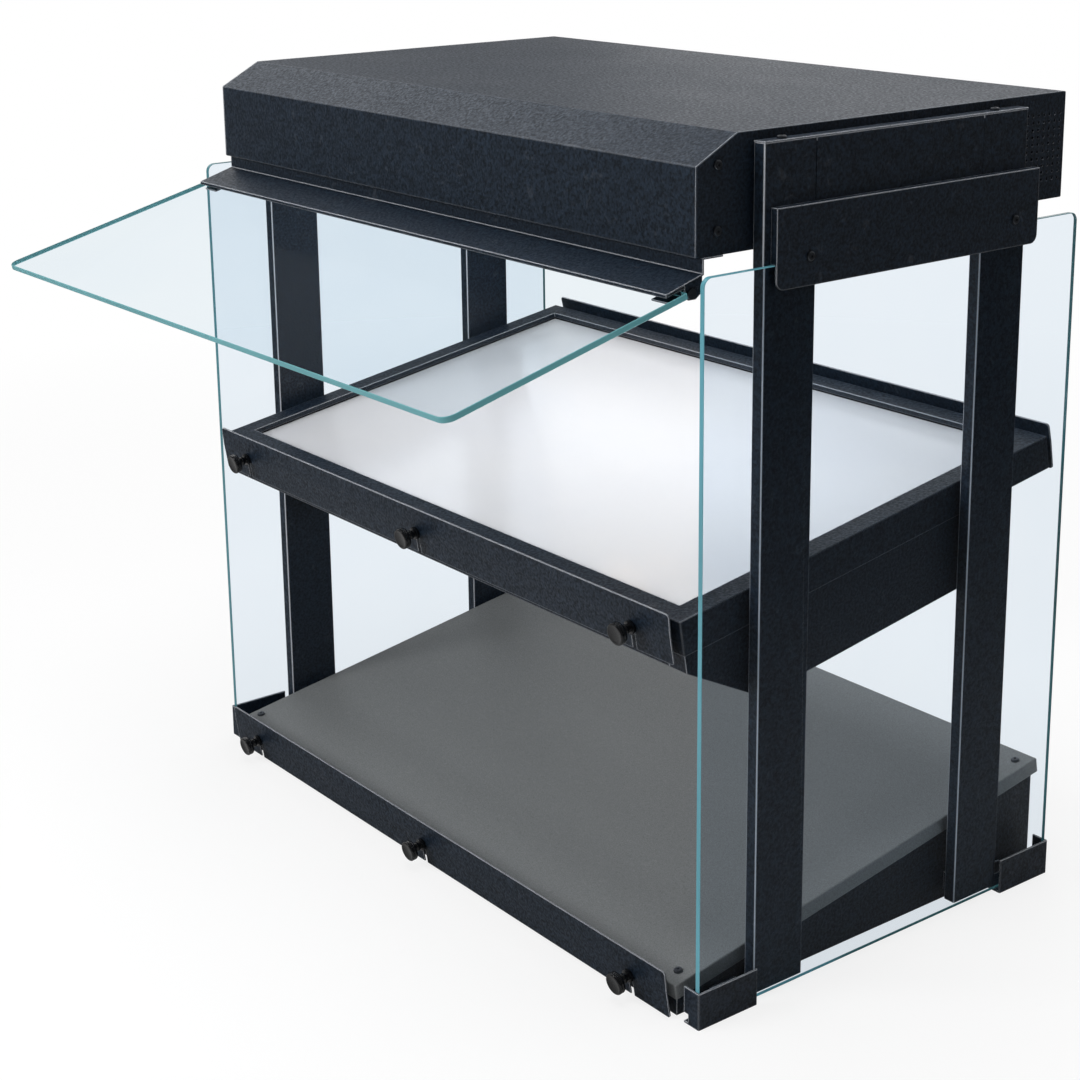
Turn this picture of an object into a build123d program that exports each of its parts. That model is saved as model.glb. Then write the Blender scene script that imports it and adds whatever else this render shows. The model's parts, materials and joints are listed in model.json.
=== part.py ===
from build123d import *
import math
import os

os.makedirs("parts", exist_ok=True)

# Two-level heated display case. X runs along the front, -Y is the customer's side, Z is up.
# The origin is on the counter, midway between the four glass shoes that the case stands on.
# Every size is in millimetres and every angle in degrees.

# Side frames: two hollow posts, a top rail and a cap strip at each end of the case
slope = 9.4                  # both shelves fall this much towards the customer
cabinet_half_width = 434.0   # centre to the outer face of the posts
frame_top = 837.0
post_width = 14.0
post_depth = 64.0
post_spacing = 286.0
post_wall = 1.5
post_lift = 8.0
rail_height = 117.0
cap_thickness = 1.5
cap_screw_front_offset = 5.0 # cap screws ahead of the posts' centres
cap_screw_rear_offset = 9.0

# Side glass, its four shoes and the two clamp plates
glass_thickness = 6.0
glass_depth = 500.0
glass_top_drop = 110.5       # frame top to the glass's upper edge
glass_corner = 9.0
shoe_wall = 2.0
shoe_length = 76.0
shoe_height = 38.0
shoe_flange = 21.0
shoe_notch_width = 6.0
shoe_notch_height = 11.0
shoe_tongue_width = 34.0
shoe_upstand = 16.0
glass_pad_thickness = 4.5
glass_pad_length = 40.0
clamp_thickness = 2.0
clamp_past_front = 23.0      # clamp plate's ends beyond the posts' centres
clamp_past_rear = 43.0
clamp_grip = 23.0            # clamp plate below the glass's upper edge
clamp_rise = 51.5            # clamp plate above the glass's upper edge
clamp_corner = 9.0
clamp_screw_front_offset = 18.0
clamp_screw_rear_offset = 9.0
clamp_screw_rise = 4.0       # screw axis above the top edge of the glass

# Hood
hood_side_gap = 5.5
hood_front_setback = 13.5    # hood's front behind the glass's front edge
hood_rear_past = 4.5
hood_rise = 7.5              # hood above the frame
hood_height = 106.5
hood_chamfer_depth = 48.0
hood_chamfer_drop = 25.5
hood_sheet = 1.5
hood_end_sheet = 1.5
hood_end_flange = 30.0
hood_return = 22.0
bend_radius = 1.6
vent_columns = 8
vent_rows = 10
vent_column_pitch = 8.0
vent_row_pitch = 7.2
vent_radius = 1.6
vent_rear_margin = 8.0
vent_top_margin = 21.0
hood_screw_inset = 23.5
hood_screw_top_drop = 26.0
hood_screw_bottom_rise = 22.0

# What the hood holds
heater_setback = 186.5       # hood's front to the heater's centre line
trough_end_room = 84.5
trough_mouth = 104.0
trough_crown = 56.0
trough_height = 56.0
trough_sheet = 1.0
trough_rim = 10.0
element_radius = 4.0
element_rise = 20.0
element_overhang = 22.0
element_pin_radius = 2.0
element_pin_length = 14.0
clip_count = 3
clip_width = 4.0
clip_wall = 1.6
guard_wire_radius = 1.5
guard_cross_wires = 9
lamp_rear_room = 144.5       # lamps' centre line to the hood's rear
lamp_count = 3
lamp_end_room = 115.0
lamp_radius = 15.0
lamp_length = 62.0
lamp_neck_radius = 8.5
lamp_neck_length = 16.0
socket_radius = 13.0
socket_length = 30.0
socket_wall = 2.4
lamp_trough_mouth = 90.0
lamp_trough_crown = 48.0
lamp_trough_height = 60.0
lamp_rise = 26.0
hood_terminal_inset = 42.5
hood_terminal_rear_room = 74.5
terminal_length = 52.0
terminal_width = 18.0
terminal_height = 16.0
terminal_poles = 5

# Visor under the hood's front edge, with an ear at each end for the flip-up pane
visor_overhang = 0.5
visor_setback = 7.0
visor_step = 14.0
visor_reach = 42.0
visor_fall = 12.8
visor_return = 24.0
visor_hem = 3.5
visor_sheet = 1.5
visor_screw_count = 3
visor_screw_inset = 85.0
ear_front = 7.5
ear_rear = 13.0

# Flip-up pane
flip_axis_reach = 13.5       # hinge axis ahead of the visor's back
flip_axis_drop = 30.0        # hinge axis below the hood
flip_rest_angle = 14.5       # below the horizontal when it stands open
flip_overhang = 7.0
flip_length = 269.0
flip_thickness = 6.0
flip_corner = 12.0
flip_edge_offset = 8.8       # hinge axis to the pane's inner edge
flip_face_offset = 5.9       # hinge axis to the pane's upper face
pivot_radius = 3.0
running_clearance = 0.05
knuckle_radius = 5.6
knuckle_length = 12.0
clasp_width = 24.0
clasp_length = 24.0
clasp_upper = 1.2
clasp_lower = 1.6
pin_head_radius = 5.0
pin_head_length = 2.0

# Upper shelf
shelf_centre_y = -1.0
shelf_centre_z = 446.0
shelf_side_gap = 6.5
shelf_half_depth = 255.5
shelf_band = 36.0
shelf_sheet = 1.5
shelf_bezel_side = 25.5
shelf_bezel_end = 22.5
shelf_lip = 6.0
sheet_gap = 0.3
gasket_thickness = 2.0
gasket_width = 8.0
pane_thickness = 5.0
pane_overlap = 9.0
busbar_width = 5.0
busbar_thickness = 0.5
duct_width = 24.0
duct_sheet = 1.2
duct_front_depth = 55.0
duct_depth = 116.0
duct_slant_u = -170.0
duct_rear_u = 172.0
duct_rear_depth = 34.0
rail_return = 14.0

# Heated base
base_centre_y = 5.0
base_centre_z = 77.2
base_side_gap = 9.5
base_half_depth = 263.3
base_plate_thickness = 2.0
base_lip = 16.0
body_sheet = 1.2
body_rear_gap = 4.5
body_flange = 24.0
base_screw_side_inset = 15.0
base_screw_end_inset = 18.0
heater_pad_side_room = 45.5
heater_pad_end_room = 41.3
heater_pad_thickness = 2.0
insulation_thickness = 10.0
tray_margin = 8.0
tray_sheet = 1.2

# Fascia plates, hung on thumbscrews through slots that open downwards
fascia_side_gap = 10.2
fascia_height = 51.0
fascia_sheet = 1.5
fascia_upper = 20.0
fascia_upper_lean = 1.5
fascia_corner = 3.0
fascia_top_corner = 4.0
fascia_gap = 9.0
slot_rise = 23.5             # slot's round end above the fascia's lower edge
slot_width = 5.6
shelf_screw_drop = 18.0
base_screw_drop = 8.0
thumb_inset = 55.1
seat_clearance = 0.15
stud_radius = 2.5
stud_reach = 14.0
standoff_radius = 5.0
collar_radius = 7.0
collar_length = 4.0
neck_radius = 4.3
neck_length = 10.0
head_radius = 11.4
head_length = 7.5

# Spacers and bolts between the posts and what they carry
spacer_width = 40.0
hood_spacer_height = 44.0
shelf_spacer_height = 46.0
base_spacer_height = 20.0
bolt_radius = 3.0
bolt_head_radius = 5.2
bolt_head_height = 4.0
bolt_grip = 4.0
hood_bolt_drop = 56.5
shelf_bolt_drop = 78.0
base_bolt_z = 20.0

# Pan-head screws
screw_radius = 2.0
screw_head_radius = 4.6
screw_head_height = 2.6
screw_socket_radius = 1.5
screw_socket_depth = 1.2
screw_reach = 7.0

# Controls, on the rear wall of the base
control_z = 46.0
power_switch_inset = 65.5
lamp_switch_inset = 105.5
base_dial_inset = 165.5
hood_dial_inset = 225.5
gland_inset = 60.5
gland_bore_radius = 4.5
gland_wall = 3.0
gland_flange = 3.0
gland_length = 18.0
rocker_height = 22.0
rocker_width = 13.0
rocker_depth = 9.0
rocker_dish = 1.5
rocker_throw = 16.0
rocker_play = 1.4
switch_bezel = 3.0
switch_bezel_proud = 2.0
switch_body_depth = 24.0
rocker_pivot_radius = 1.5
dial_radius = 17.0
dial_height = 15.0
dial_grip_width = 7.0
dial_standoff = 1.0
dial_shaft_radius = 3.0
thermostat_size = 34.0
thermostat_depth = 30.0
base_terminal_inset = 160.5
base_terminal_rear_room = 43.3

# Supply cable from the base to the hood, inside the right rear post
cable_radius = 3.0
cable_bend = 14.0
cable_hole_radius = 5.5
cable_offset = 14.0
cable_low_z = 62.0
cable_entry_rise = 19.0      # cable above the hood's lower edge
cable_base_tail = 60.0
cable_hood_tail = 24.0

# Worked-out places
past = 5.0
post_inner_x = cabinet_half_width - post_width
post_top = frame_top - cap_thickness
front_post_y = -post_spacing / 2
rear_post_y = post_spacing / 2
cap_screw_front = front_post_y - cap_screw_front_offset
cap_screw_rear = rear_post_y - cap_screw_rear_offset
glass_bottom = shoe_wall + glass_pad_thickness
glass_top = frame_top - glass_top_drop
glass_outer_x = cabinet_half_width + glass_thickness
clamp_front = front_post_y - clamp_past_front
clamp_rear = rear_post_y + clamp_past_rear
clamp_bottom = glass_top - clamp_grip
clamp_top = glass_top + clamp_rise
clamp_screw_front = front_post_y + clamp_screw_front_offset
clamp_screw_rear = rear_post_y + clamp_screw_rear_offset
hood_half_width = post_inner_x - hood_side_gap
hood_front = hood_front_setback - glass_depth / 2
hood_rear = glass_depth / 2 + hood_rear_past
hood_top = frame_top + hood_rise
hood_bottom = hood_top - hood_height
hood_bolt_z = hood_top - hood_bolt_drop
heater_y = hood_front + heater_setback
trough_half_length = hood_half_width - trough_end_room
lamp_y = hood_rear - lamp_rear_room
lamp_pitch = 2 * (trough_half_length - lamp_end_room) / (lamp_count - 1)
visor_half_width = hood_half_width + visor_overhang
visor_back = hood_front + visor_setback
visor_screw_spacing = 2 * (visor_half_width - visor_screw_inset) / (visor_screw_count - 1)
flip_half_width = visor_half_width + flip_overhang
flip_axis_y = visor_back - flip_axis_reach
flip_axis_z = hood_bottom - flip_axis_drop
shelf_half_width = post_inner_x - shelf_side_gap
base_half_width = post_inner_x - base_side_gap
heater_pad_half_width = base_half_width - heater_pad_side_room
heater_pad_half_depth = base_half_depth - heater_pad_end_room
fascia_half_width = post_inner_x - fascia_side_gap
thumb_spacing = fascia_half_width - thumb_inset
power_switch_x = base_half_width - power_switch_inset
lamp_switch_x = base_half_width - lamp_switch_inset
base_dial_x = base_half_width - base_dial_inset
hood_dial_x = base_half_width - hood_dial_inset
gland_x = gland_inset - base_half_width
cable_high_z = hood_bottom + cable_entry_rise


def block(x0, x1, y0, y1, z0, z1):
    """Box between two corners."""
    return Pos((x0 + x1) / 2, (y0 + y1) / 2, (z0 + z1) / 2) * Box(x1 - x0, y1 - y0, z1 - z0)


def side_profile(points):
    """Flat face in the side view from (y, z) points."""
    return Plane.YZ * make_face(Polyline(*points, close=True))


def across(face, x0, x1):
    """Solid with one side profile between two places along the front."""
    return Pos(x0, 0, 0) * extrude(face, amount=x1 - x0, dir=(1, 0, 0))


def rod_x(y, z, radius, x0, x1):
    """Round bar along the front."""
    return Pos((x0 + x1) / 2, y, z) * Rot(0, 90, 0) * Cylinder(radius, abs(x1 - x0))


def rod_y(x, z, radius, y0, y1):
    """Round bar from front to back."""
    return Pos(x, (y0 + y1) / 2, z) * Rot(90, 0, 0) * Cylinder(radius, abs(y1 - y0))


def rod_z(x, y, radius, z0, z1):
    """Upright round bar."""
    return Pos(x, y, (z0 + z1) / 2) * Cylinder(radius, abs(z1 - z0))


def mirrored(shape):
    """The same piece for the left end of the case."""
    return mirror(shape, about=Plane.YZ)


def on_slope(shape, centre_y, centre_z):
    """Lay a piece drawn level onto the sloping shelf or base."""
    return Pos(0, centre_y, centre_z) * Rot(slope, 0, 0) * shape


def sloped_point(centre_y, centre_z, u, w):
    """Side-view place of a point at u along and w above a sloping surface."""
    lean = math.radians(slope)
    y = centre_y + u * math.cos(lean) - w * math.sin(lean)
    z = centre_z + u * math.sin(lean) + w * math.cos(lean)
    return y, z


def along_slope(centre_y, y, w):
    """Distance u along a sloping surface that lands on a given y at depth w."""
    lean = math.radians(slope)
    return (y - centre_y + w * math.sin(lean)) / math.cos(lean)


def save(name, *solids):
    """Write one piece, or one group of like pieces."""
    shape = solids[0] if len(solids) == 1 else Compound(children=list(solids))
    export_step(shape, f"parts/{name}.step")


def pan_screw():
    """Pan-head screw with a drive socket, head upwards, seated on z = 0."""
    head = rod_z(0, 0, screw_head_radius, 0, screw_head_height)
    head = fillet(head.edges().sort_by(Axis.Z)[-1], screw_head_height * 0.55)
    socket = rod_z(0, 0, screw_socket_radius, screw_head_height - screw_socket_depth, screw_head_height + past)
    return head + rod_z(0, 0, screw_radius, -screw_reach, 0) - socket


def screw_facing_x(x, y, z):
    """Pan-head screw driven in from the right."""
    return Pos(x, y, z) * Rot(0, 90, 0) * pan_screw()


# Posts
def post(middle_y, bolt_heights, glass_screw_y, cap_screw_y):
    """Hollow post for the right end, drilled for its bolts and screws."""
    y0 = middle_y - post_depth / 2
    y1 = middle_y + post_depth / 2
    shell = block(post_inner_x, cabinet_half_width, y0, y1, post_lift, post_top)
    shell = fillet(shell.edges().filter_by(Axis.Z), bend_radius)
    hollow = block(post_inner_x + post_wall, cabinet_half_width - post_wall,
                   y0 + post_wall, y1 - post_wall, post_lift - past, post_top - post_wall)
    tube = shell - hollow
    for height in bolt_heights:
        tube -= rod_x(middle_y, height, bolt_radius + running_clearance,
                      post_inner_x - past, post_inner_x + post_wall + past)
    tube -= rod_x(glass_screw_y, glass_top + clamp_screw_rise, screw_radius + running_clearance,
                  cabinet_half_width - post_wall - past, cabinet_half_width + past)
    tube -= rod_z(post_inner_x + post_width / 2, cap_screw_y, screw_radius + running_clearance,
                  post_top - post_wall - past, post_top + past)
    return tube


def shelf_bolt_height(y):
    """Height of the bolt that carries the shelf at one post."""
    u = along_slope(shelf_centre_y, y, -shelf_bolt_drop)
    return sloped_point(shelf_centre_y, shelf_centre_z, u, -shelf_bolt_drop)[1]


front_bolts = [base_bolt_z, shelf_bolt_height(front_post_y), hood_bolt_z]
rear_bolts = [base_bolt_z, shelf_bolt_height(rear_post_y), hood_bolt_z]
post_front = post(front_post_y, front_bolts, clamp_screw_front, cap_screw_front)
post_rear = post(rear_post_y, rear_bolts, clamp_screw_rear, cap_screw_rear)


cable_y = rear_post_y + cable_offset


def cable_opening(height):
    """Upright oblong window for the cable through the inner wall of a post and what lies beside it."""
    low = rod_x(cable_y, height, cable_hole_radius, -past, past)
    high = rod_x(cable_y, height + cable_bend / 2, cable_hole_radius, -past, past)
    middle = block(-past, past, cable_y - cable_hole_radius, cable_y + cable_hole_radius,
                   height, height + cable_bend / 2)
    return low + high + middle


low_opening = cable_opening(cable_low_z)
high_opening = cable_opening(cable_high_z - cable_bend / 2)
cable_post = post_rear - Pos(post_inner_x, 0, 0) * low_opening - Pos(post_inner_x, 0, 0) * high_opening

save("front_posts", post_front, mirrored(post_front))
save("rear_post_right", cable_post)
save("rear_post_left", mirrored(post_rear))

# Top rails and cap strips
rail_y0 = front_post_y + post_depth / 2
rail_y1 = rear_post_y - post_depth / 2
rail = block(post_inner_x, cabinet_half_width, rail_y0, rail_y1, frame_top - rail_height, post_top)
rail -= block(post_inner_x - past, cabinet_half_width - post_wall, rail_y0 - past, rail_y1 + past,
              frame_top - rail_height + post_wall, post_top - post_wall)
save("top_rails", rail, mirrored(rail))

cap_y0 = front_post_y - post_depth / 2
cap_y1 = rear_post_y + post_depth / 2
cap = block(post_inner_x, cabinet_half_width, cap_y0, cap_y1, post_top, frame_top)
cap = fillet(cap.edges().group_by(Axis.Z)[-1], cap_thickness * 0.5)
cap_x = post_inner_x + post_width / 2
for screw_y in (cap_screw_front, cap_screw_rear):
    cap -= rod_z(cap_x, screw_y, screw_radius + running_clearance, post_top - past, frame_top + past)
save("frame_caps", cap, mirrored(cap))
cap_screws = [Pos(cap_x, screw_y, frame_top) * pan_screw() for screw_y in (cap_screw_front, cap_screw_rear)]
panel_screws = cap_screws + [mirrored(screw) for screw in cap_screws]

# Side glass
pane = block(cabinet_half_width, glass_outer_x, -glass_depth / 2, glass_depth / 2, glass_bottom, glass_top)
pane = fillet(pane.edges().filter_by(Axis.X), glass_corner)
save("side_glass_right", pane)
save("side_glass_left", mirrored(pane))

# Glass shoes, which are also the feet; a tongue reaches in and is screwed to the side of the base
shoe_outer_x = glass_outer_x + sheet_gap + shoe_wall
shoe_front_y = glass_depth / 2 + sheet_gap + shoe_wall
shoe_screw_y = -shoe_front_y + shoe_length - shoe_tongue_width / 2
shoe_screw_z = shoe_wall + (shoe_upstand - shoe_wall) / 2
tub_x = base_half_width - base_plate_thickness - sheet_gap


def glass_shoe():
    """Folded shoe at the front right corner of the glass."""
    back_y = -shoe_front_y + shoe_length
    floor = block(shoe_outer_x - shoe_flange, shoe_outer_x, -shoe_front_y, back_y, 0, shoe_wall)
    tongue = block(tub_x, shoe_outer_x, back_y - shoe_tongue_width, back_y, 0, shoe_wall)
    upstand = block(tub_x, tub_x + shoe_wall, back_y - shoe_tongue_width, back_y, 0, shoe_upstand)
    cheek = block(shoe_outer_x - shoe_wall, shoe_outer_x, -shoe_front_y, back_y, 0, shoe_height)
    flange = block(shoe_outer_x - shoe_flange, shoe_outer_x,
                   -shoe_front_y, -shoe_front_y + shoe_wall, 0, shoe_height)
    notch = block(shoe_outer_x - shoe_flange - past, shoe_outer_x - shoe_flange + shoe_notch_width,
                  -shoe_front_y - past, -shoe_front_y + shoe_wall, -past, shoe_notch_height)
    shoe = floor + tongue + upstand + cheek + (flange - notch)
    shoe = fillet(shoe.edges().filter_by(Axis.Z).group_by(Axis.X)[-1], bend_radius)
    return shoe - rod_x(shoe_screw_y, shoe_screw_z, screw_radius + running_clearance,
                        tub_x - past, tub_x + shoe_wall + past)


front_shoe = glass_shoe()
rear_shoe = mirror(front_shoe, about=Plane.XZ)
save("glass_shoes", front_shoe, mirrored(front_shoe), rear_shoe, mirrored(rear_shoe))
shoe_screw = screw_facing_x(tub_x + shoe_wall, shoe_screw_y, shoe_screw_z)
for screw in (shoe_screw, mirror(shoe_screw, about=Plane.XZ)):
    panel_screws += [screw, mirrored(screw)]

pad_y0 = glass_depth / 2 - glass_corner - glass_pad_length
pad_y1 = glass_depth / 2 - glass_corner
rear_pad = block(cabinet_half_width, glass_outer_x, pad_y0, pad_y1, shoe_wall, glass_bottom)
front_pad = mirror(rear_pad, about=Plane.XZ)
save("glass_pads", rear_pad, front_pad, mirrored(rear_pad), mirrored(front_pad))

# Clamp plates over the top of the glass
clamp_outer_x = glass_outer_x + clamp_thickness
clamp_screw_z = glass_top + clamp_screw_rise
clamp = block(glass_outer_x, clamp_outer_x, clamp_front, clamp_rear, clamp_bottom, clamp_top)
lower_corners = clamp.edges().filter_by(Axis.X).group_by(Axis.Z)[0]
clamp = fillet(lower_corners, clamp_corner)
clamp += block(cabinet_half_width, glass_outer_x, clamp_front, clamp_front + clamp_thickness,
               glass_top + sheet_gap, clamp_top)
clamp += block(cabinet_half_width, glass_outer_x, clamp_rear - clamp_thickness, clamp_rear,
               glass_top + sheet_gap, clamp_top)
clamp += block(cabinet_half_width, glass_outer_x, clamp_front, clamp_rear,
               clamp_top - clamp_thickness, clamp_top)
clamp_rim = clamp.edges().filter_by(Axis.Y).group_by(Axis.Z)[-1].sort_by(Axis.X)[-1]
clamp = fillet(clamp_rim, clamp_thickness * 0.4)
for screw_y in (clamp_screw_front, clamp_screw_rear):
    clamp -= rod_x(screw_y, clamp_screw_z, screw_radius + running_clearance,
                   glass_outer_x - past, clamp_outer_x + past)
save("clamp_plates", clamp, mirrored(clamp))


def clamp_screw(screw_y):
    """Long screw through the clamp plate into a post, just above the glass."""
    shank = rod_x(screw_y, clamp_screw_z, screw_radius, cabinet_half_width - post_wall - past, clamp_outer_x)
    return screw_facing_x(clamp_outer_x, screw_y, clamp_screw_z) + shank


clamp_screws = [clamp_screw(clamp_screw_front), clamp_screw(clamp_screw_rear)]
save("clamp_screws", *clamp_screws, *[mirrored(screw) for screw in clamp_screws])

# Hood shell, open below, with turned-in end flanges
chamfer_top_y = hood_front + hood_chamfer_depth
chamfer_bottom_z = hood_top - hood_chamfer_drop
hood_profile = side_profile([
    (hood_front, hood_bottom),
    (hood_front, chamfer_bottom_z),
    (chamfer_top_y, hood_top),
    (hood_rear, hood_top),
    (hood_rear, hood_bottom),
])
hood_inside = offset(hood_profile, amount=-hood_sheet, kind=Kind.INTERSECTION)
hood_core = offset(hood_profile, amount=-hood_end_flange, kind=Kind.INTERSECTION)
shell_half = hood_half_width - hood_end_sheet
hood_solid = across(hood_profile, -shell_half, shell_half)
hood_solid = fillet(hood_solid.edges().filter_by(Axis.X), bend_radius)
hood_shell = hood_solid - across(hood_inside, -shell_half - past, shell_half + past)
hood_shell -= block(-shell_half - past, shell_half + past, hood_front + hood_return, hood_rear - hood_return,
                    hood_bottom - past, hood_bottom + hood_sheet + past)
flange_ring = across(hood_inside, shell_half - hood_sheet, shell_half)
flange_ring -= across(hood_core, shell_half - hood_sheet - past, shell_half + past)
flange_ring -= block(shell_half - past, shell_half + past, hood_front + hood_return, hood_rear - hood_return,
                     hood_bottom - past, hood_bottom + hood_end_flange + past)
hood_shell = hood_shell + flange_ring + mirrored(flange_ring)

hood_screw_places = [
    (hood_front + hood_screw_inset, hood_top - hood_screw_top_drop),
    (hood_front + hood_screw_inset, hood_bottom + hood_screw_bottom_rise),
]
hood_drill = [rod_x(y, z, screw_radius + running_clearance, shell_half - 4 * past, hood_half_width + past)
              for y, z in hood_screw_places]
for drill in hood_drill:
    hood_shell = hood_shell - drill - mirrored(drill)

# Hood ends, drilled with a block of vent holes at the rear
hood_end = across(hood_profile, shell_half, hood_half_width)
hood_end = fillet(hood_end.edges().filter_by(Axis.X), bend_radius)
hood_end = fillet(hood_end.faces().sort_by(Axis.X)[-1].edges(), hood_end_sheet * 0.4)
vents = []
for column in range(vent_columns):
    for row in range(vent_rows):
        vent_y = hood_rear - vent_rear_margin - column * vent_column_pitch
        vent_z = hood_top - vent_top_margin - row * vent_row_pitch
        vents.append(rod_x(vent_y, vent_z, vent_radius, shell_half - past, hood_half_width + past))
hood_end -= vents
for drill in hood_drill:
    hood_end -= drill
for bolt_y in (front_post_y, rear_post_y):
    hood_end -= rod_x(bolt_y, hood_bolt_z, bolt_radius + running_clearance,
                      shell_half - past, hood_half_width + past)
save("hood_ends", hood_end - Pos(hood_half_width, 0, 0) * high_opening, mirrored(hood_end))
for y, z in hood_screw_places:
    end_screw = screw_facing_x(hood_half_width, y, z)
    panel_screws += [end_screw, mirrored(end_screw)]

# Pan that closes the hood from below
pan_z0 = hood_bottom + hood_sheet
pan_z1 = pan_z0 + hood_sheet
pan_half = shell_half - hood_sheet - sheet_gap
pan = block(-pan_half, pan_half, hood_front + hood_sheet + sheet_gap, hood_rear - hood_sheet - sheet_gap,
            pan_z0, pan_z1)
pan -= block(-trough_half_length, trough_half_length, heater_y - trough_mouth / 2, heater_y + trough_mouth / 2,
             pan_z0 - past, pan_z1 + past)
pan -= block(-trough_half_length, trough_half_length, lamp_y - lamp_trough_mouth / 2,
             lamp_y + lamp_trough_mouth / 2, pan_z0 - past, pan_z1 + past)


def trough(middle_y, mouth, crown, height):
    """Folded reflector trough that stands on the pan over its opening."""
    outline = [
        (middle_y - mouth / 2, pan_z1),
        (middle_y - crown / 2, pan_z1 + height),
        (middle_y + crown / 2, pan_z1 + height),
        (middle_y + mouth / 2, pan_z1),
    ]
    outer = across(side_profile(outline), -trough_half_length, trough_half_length)
    inner_crown = crown / 2 - trough_sheet
    inner_mouth = mouth / 2 - trough_sheet
    hollow = [
        (middle_y - inner_mouth, pan_z1 - past),
        (middle_y - inner_mouth, pan_z1),
        (middle_y - inner_crown, pan_z1 + height - trough_sheet),
        (middle_y + inner_crown, pan_z1 + height - trough_sheet),
        (middle_y + inner_mouth, pan_z1),
        (middle_y + inner_mouth, pan_z1 - past),
    ]
    end = trough_half_length - trough_sheet
    shell = outer - across(side_profile(hollow), -end, end)
    for side in (-1, 1):
        rim_y = sorted((middle_y + side * (mouth / 2 - trough_sheet), middle_y + side * (mouth / 2 + trough_rim)))
        shell += block(-trough_half_length, trough_half_length, *rim_y, pan_z1, pan_z1 + trough_sheet)
    return shell


element_z = pan_z1 + element_rise
heater_trough = trough(heater_y, trough_mouth, trough_crown, trough_height)
heater_trough -= rod_x(heater_y, element_z, element_radius + running_clearance,
                       -trough_half_length - past, trough_half_length + past)

# Sheathed element, with a terminal pin at each end
element_half = trough_half_length + element_overhang
element = rod_x(heater_y, element_z, element_radius, -element_half, element_half)
element += rod_x(heater_y, element_z, element_pin_radius, -element_half - element_pin_length,
                 element_half + element_pin_length)
save("heater_element", element)


def element_clip(x):
    """Spring-steel loop that hangs the element from the crown of the trough."""
    loop_radius = element_radius + running_clearance + clip_wall
    crown_z = pan_z1 + trough_height - trough_sheet
    strap = block(x - clip_width / 2, x + clip_width / 2, heater_y - clip_wall / 2, heater_y + clip_wall / 2,
                  element_z, crown_z)
    foot = block(x - clip_width / 2, x + clip_width / 2, heater_y - loop_radius, heater_y + loop_radius,
                 crown_z - clip_wall, crown_z)
    loop = rod_x(heater_y, element_z, loop_radius, x - clip_width / 2, x + clip_width / 2)
    return loop + strap + foot - rod_x(heater_y, element_z, element_radius + running_clearance,
                                       x - clip_width, x + clip_width)


clip_step = 2 * trough_half_length / (clip_count + 1)
save("element_clips", *[element_clip(-trough_half_length + clip_step * (index + 1)) for index in range(clip_count)])

# Wire guard under the heater's opening
guard_z = pan_z0 - guard_wire_radius
guard_y0 = heater_y - trough_mouth / 2 - trough_rim
guard_y1 = heater_y + trough_mouth / 2 + trough_rim
guard_half = trough_half_length - guard_wire_radius
guard = Part()
for wire_y in (heater_y - trough_mouth / 5, heater_y + trough_mouth / 5):
    guard += rod_x(wire_y, guard_z, guard_wire_radius, -guard_half, guard_half)
guard_step = 2 * guard_half / (guard_cross_wires + 1)
for index in range(guard_cross_wires):
    guard += rod_y(-guard_half + guard_step * (index + 1), guard_z, guard_wire_radius, guard_y0, guard_y1)
save("heater_guard", guard)

# Lamps, on their sides in a second trough
lamp_trough = trough(lamp_y, lamp_trough_mouth, lamp_trough_crown, lamp_trough_height)
save("hood_reflectors", heater_trough, lamp_trough)
lamp_z = pan_z1 + lamp_rise
lamp_starts = [(index - (lamp_count - 1) / 2) * lamp_pitch - lamp_length / 2 for index in range(lamp_count)]


def lamp_socket(x):
    """Ceramic socket with a stem to the crown of the trough; the lamp screws in from the right."""
    cup = rod_x(lamp_y, lamp_z, socket_radius, x - socket_length, x)
    cup -= rod_x(lamp_y, lamp_z, lamp_neck_radius + running_clearance, x - socket_length + socket_wall, x + past)
    stem = block(x - socket_length, x - socket_length / 3, lamp_y - socket_wall, lamp_y + socket_wall,
                 lamp_z + socket_radius - socket_wall / 2, pan_z1 + lamp_trough_height - trough_sheet)
    return cup + stem


def lamp(x):
    """Tubular lamp with a round nose and a screw cap."""
    neck = rod_x(lamp_y, lamp_z, lamp_neck_radius, x - lamp_neck_length, x)
    shoulder_end = x + lamp_radius - lamp_neck_radius
    shoulder = Pos((x + shoulder_end) / 2, lamp_y, lamp_z) * Rot(0, 90, 0) * Cone(
        lamp_neck_radius, lamp_radius, shoulder_end - x)
    bulb = rod_x(lamp_y, lamp_z, lamp_radius, shoulder_end, x + lamp_length)
    nose_edge = bulb.edges().sort_by(Axis.X)[-1]
    return neck + shoulder + fillet(nose_edge, lamp_radius * 0.9)


save("lamp_sockets", *[lamp_socket(x) for x in lamp_starts])
save("lamps", *[lamp(x) for x in lamp_starts])


def terminal_block(x, y, z):
    """Ceramic terminal strip with one screw well to each pole."""
    strip = block(x - terminal_width / 2, x + terminal_width / 2, y - terminal_length / 2, y + terminal_length / 2,
                  z, z + terminal_height)
    pitch = terminal_length / terminal_poles
    for index in range(terminal_poles):
        well_y = y - terminal_length / 2 + pitch * (index + 0.5)
        strip -= rod_z(x, well_y, pitch * 0.3, z + terminal_height * 0.5, z + terminal_height + past)
    return strip


hood_terminal = terminal_block(hood_half_width - hood_terminal_inset, hood_rear - hood_terminal_rear_room, pan_z1)
base_terminal = terminal_block(base_terminal_inset - base_half_width, base_half_depth - base_terminal_rear_room
                               - base_centre_y, body_sheet)
save("terminal_blocks", hood_terminal, base_terminal)

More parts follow.
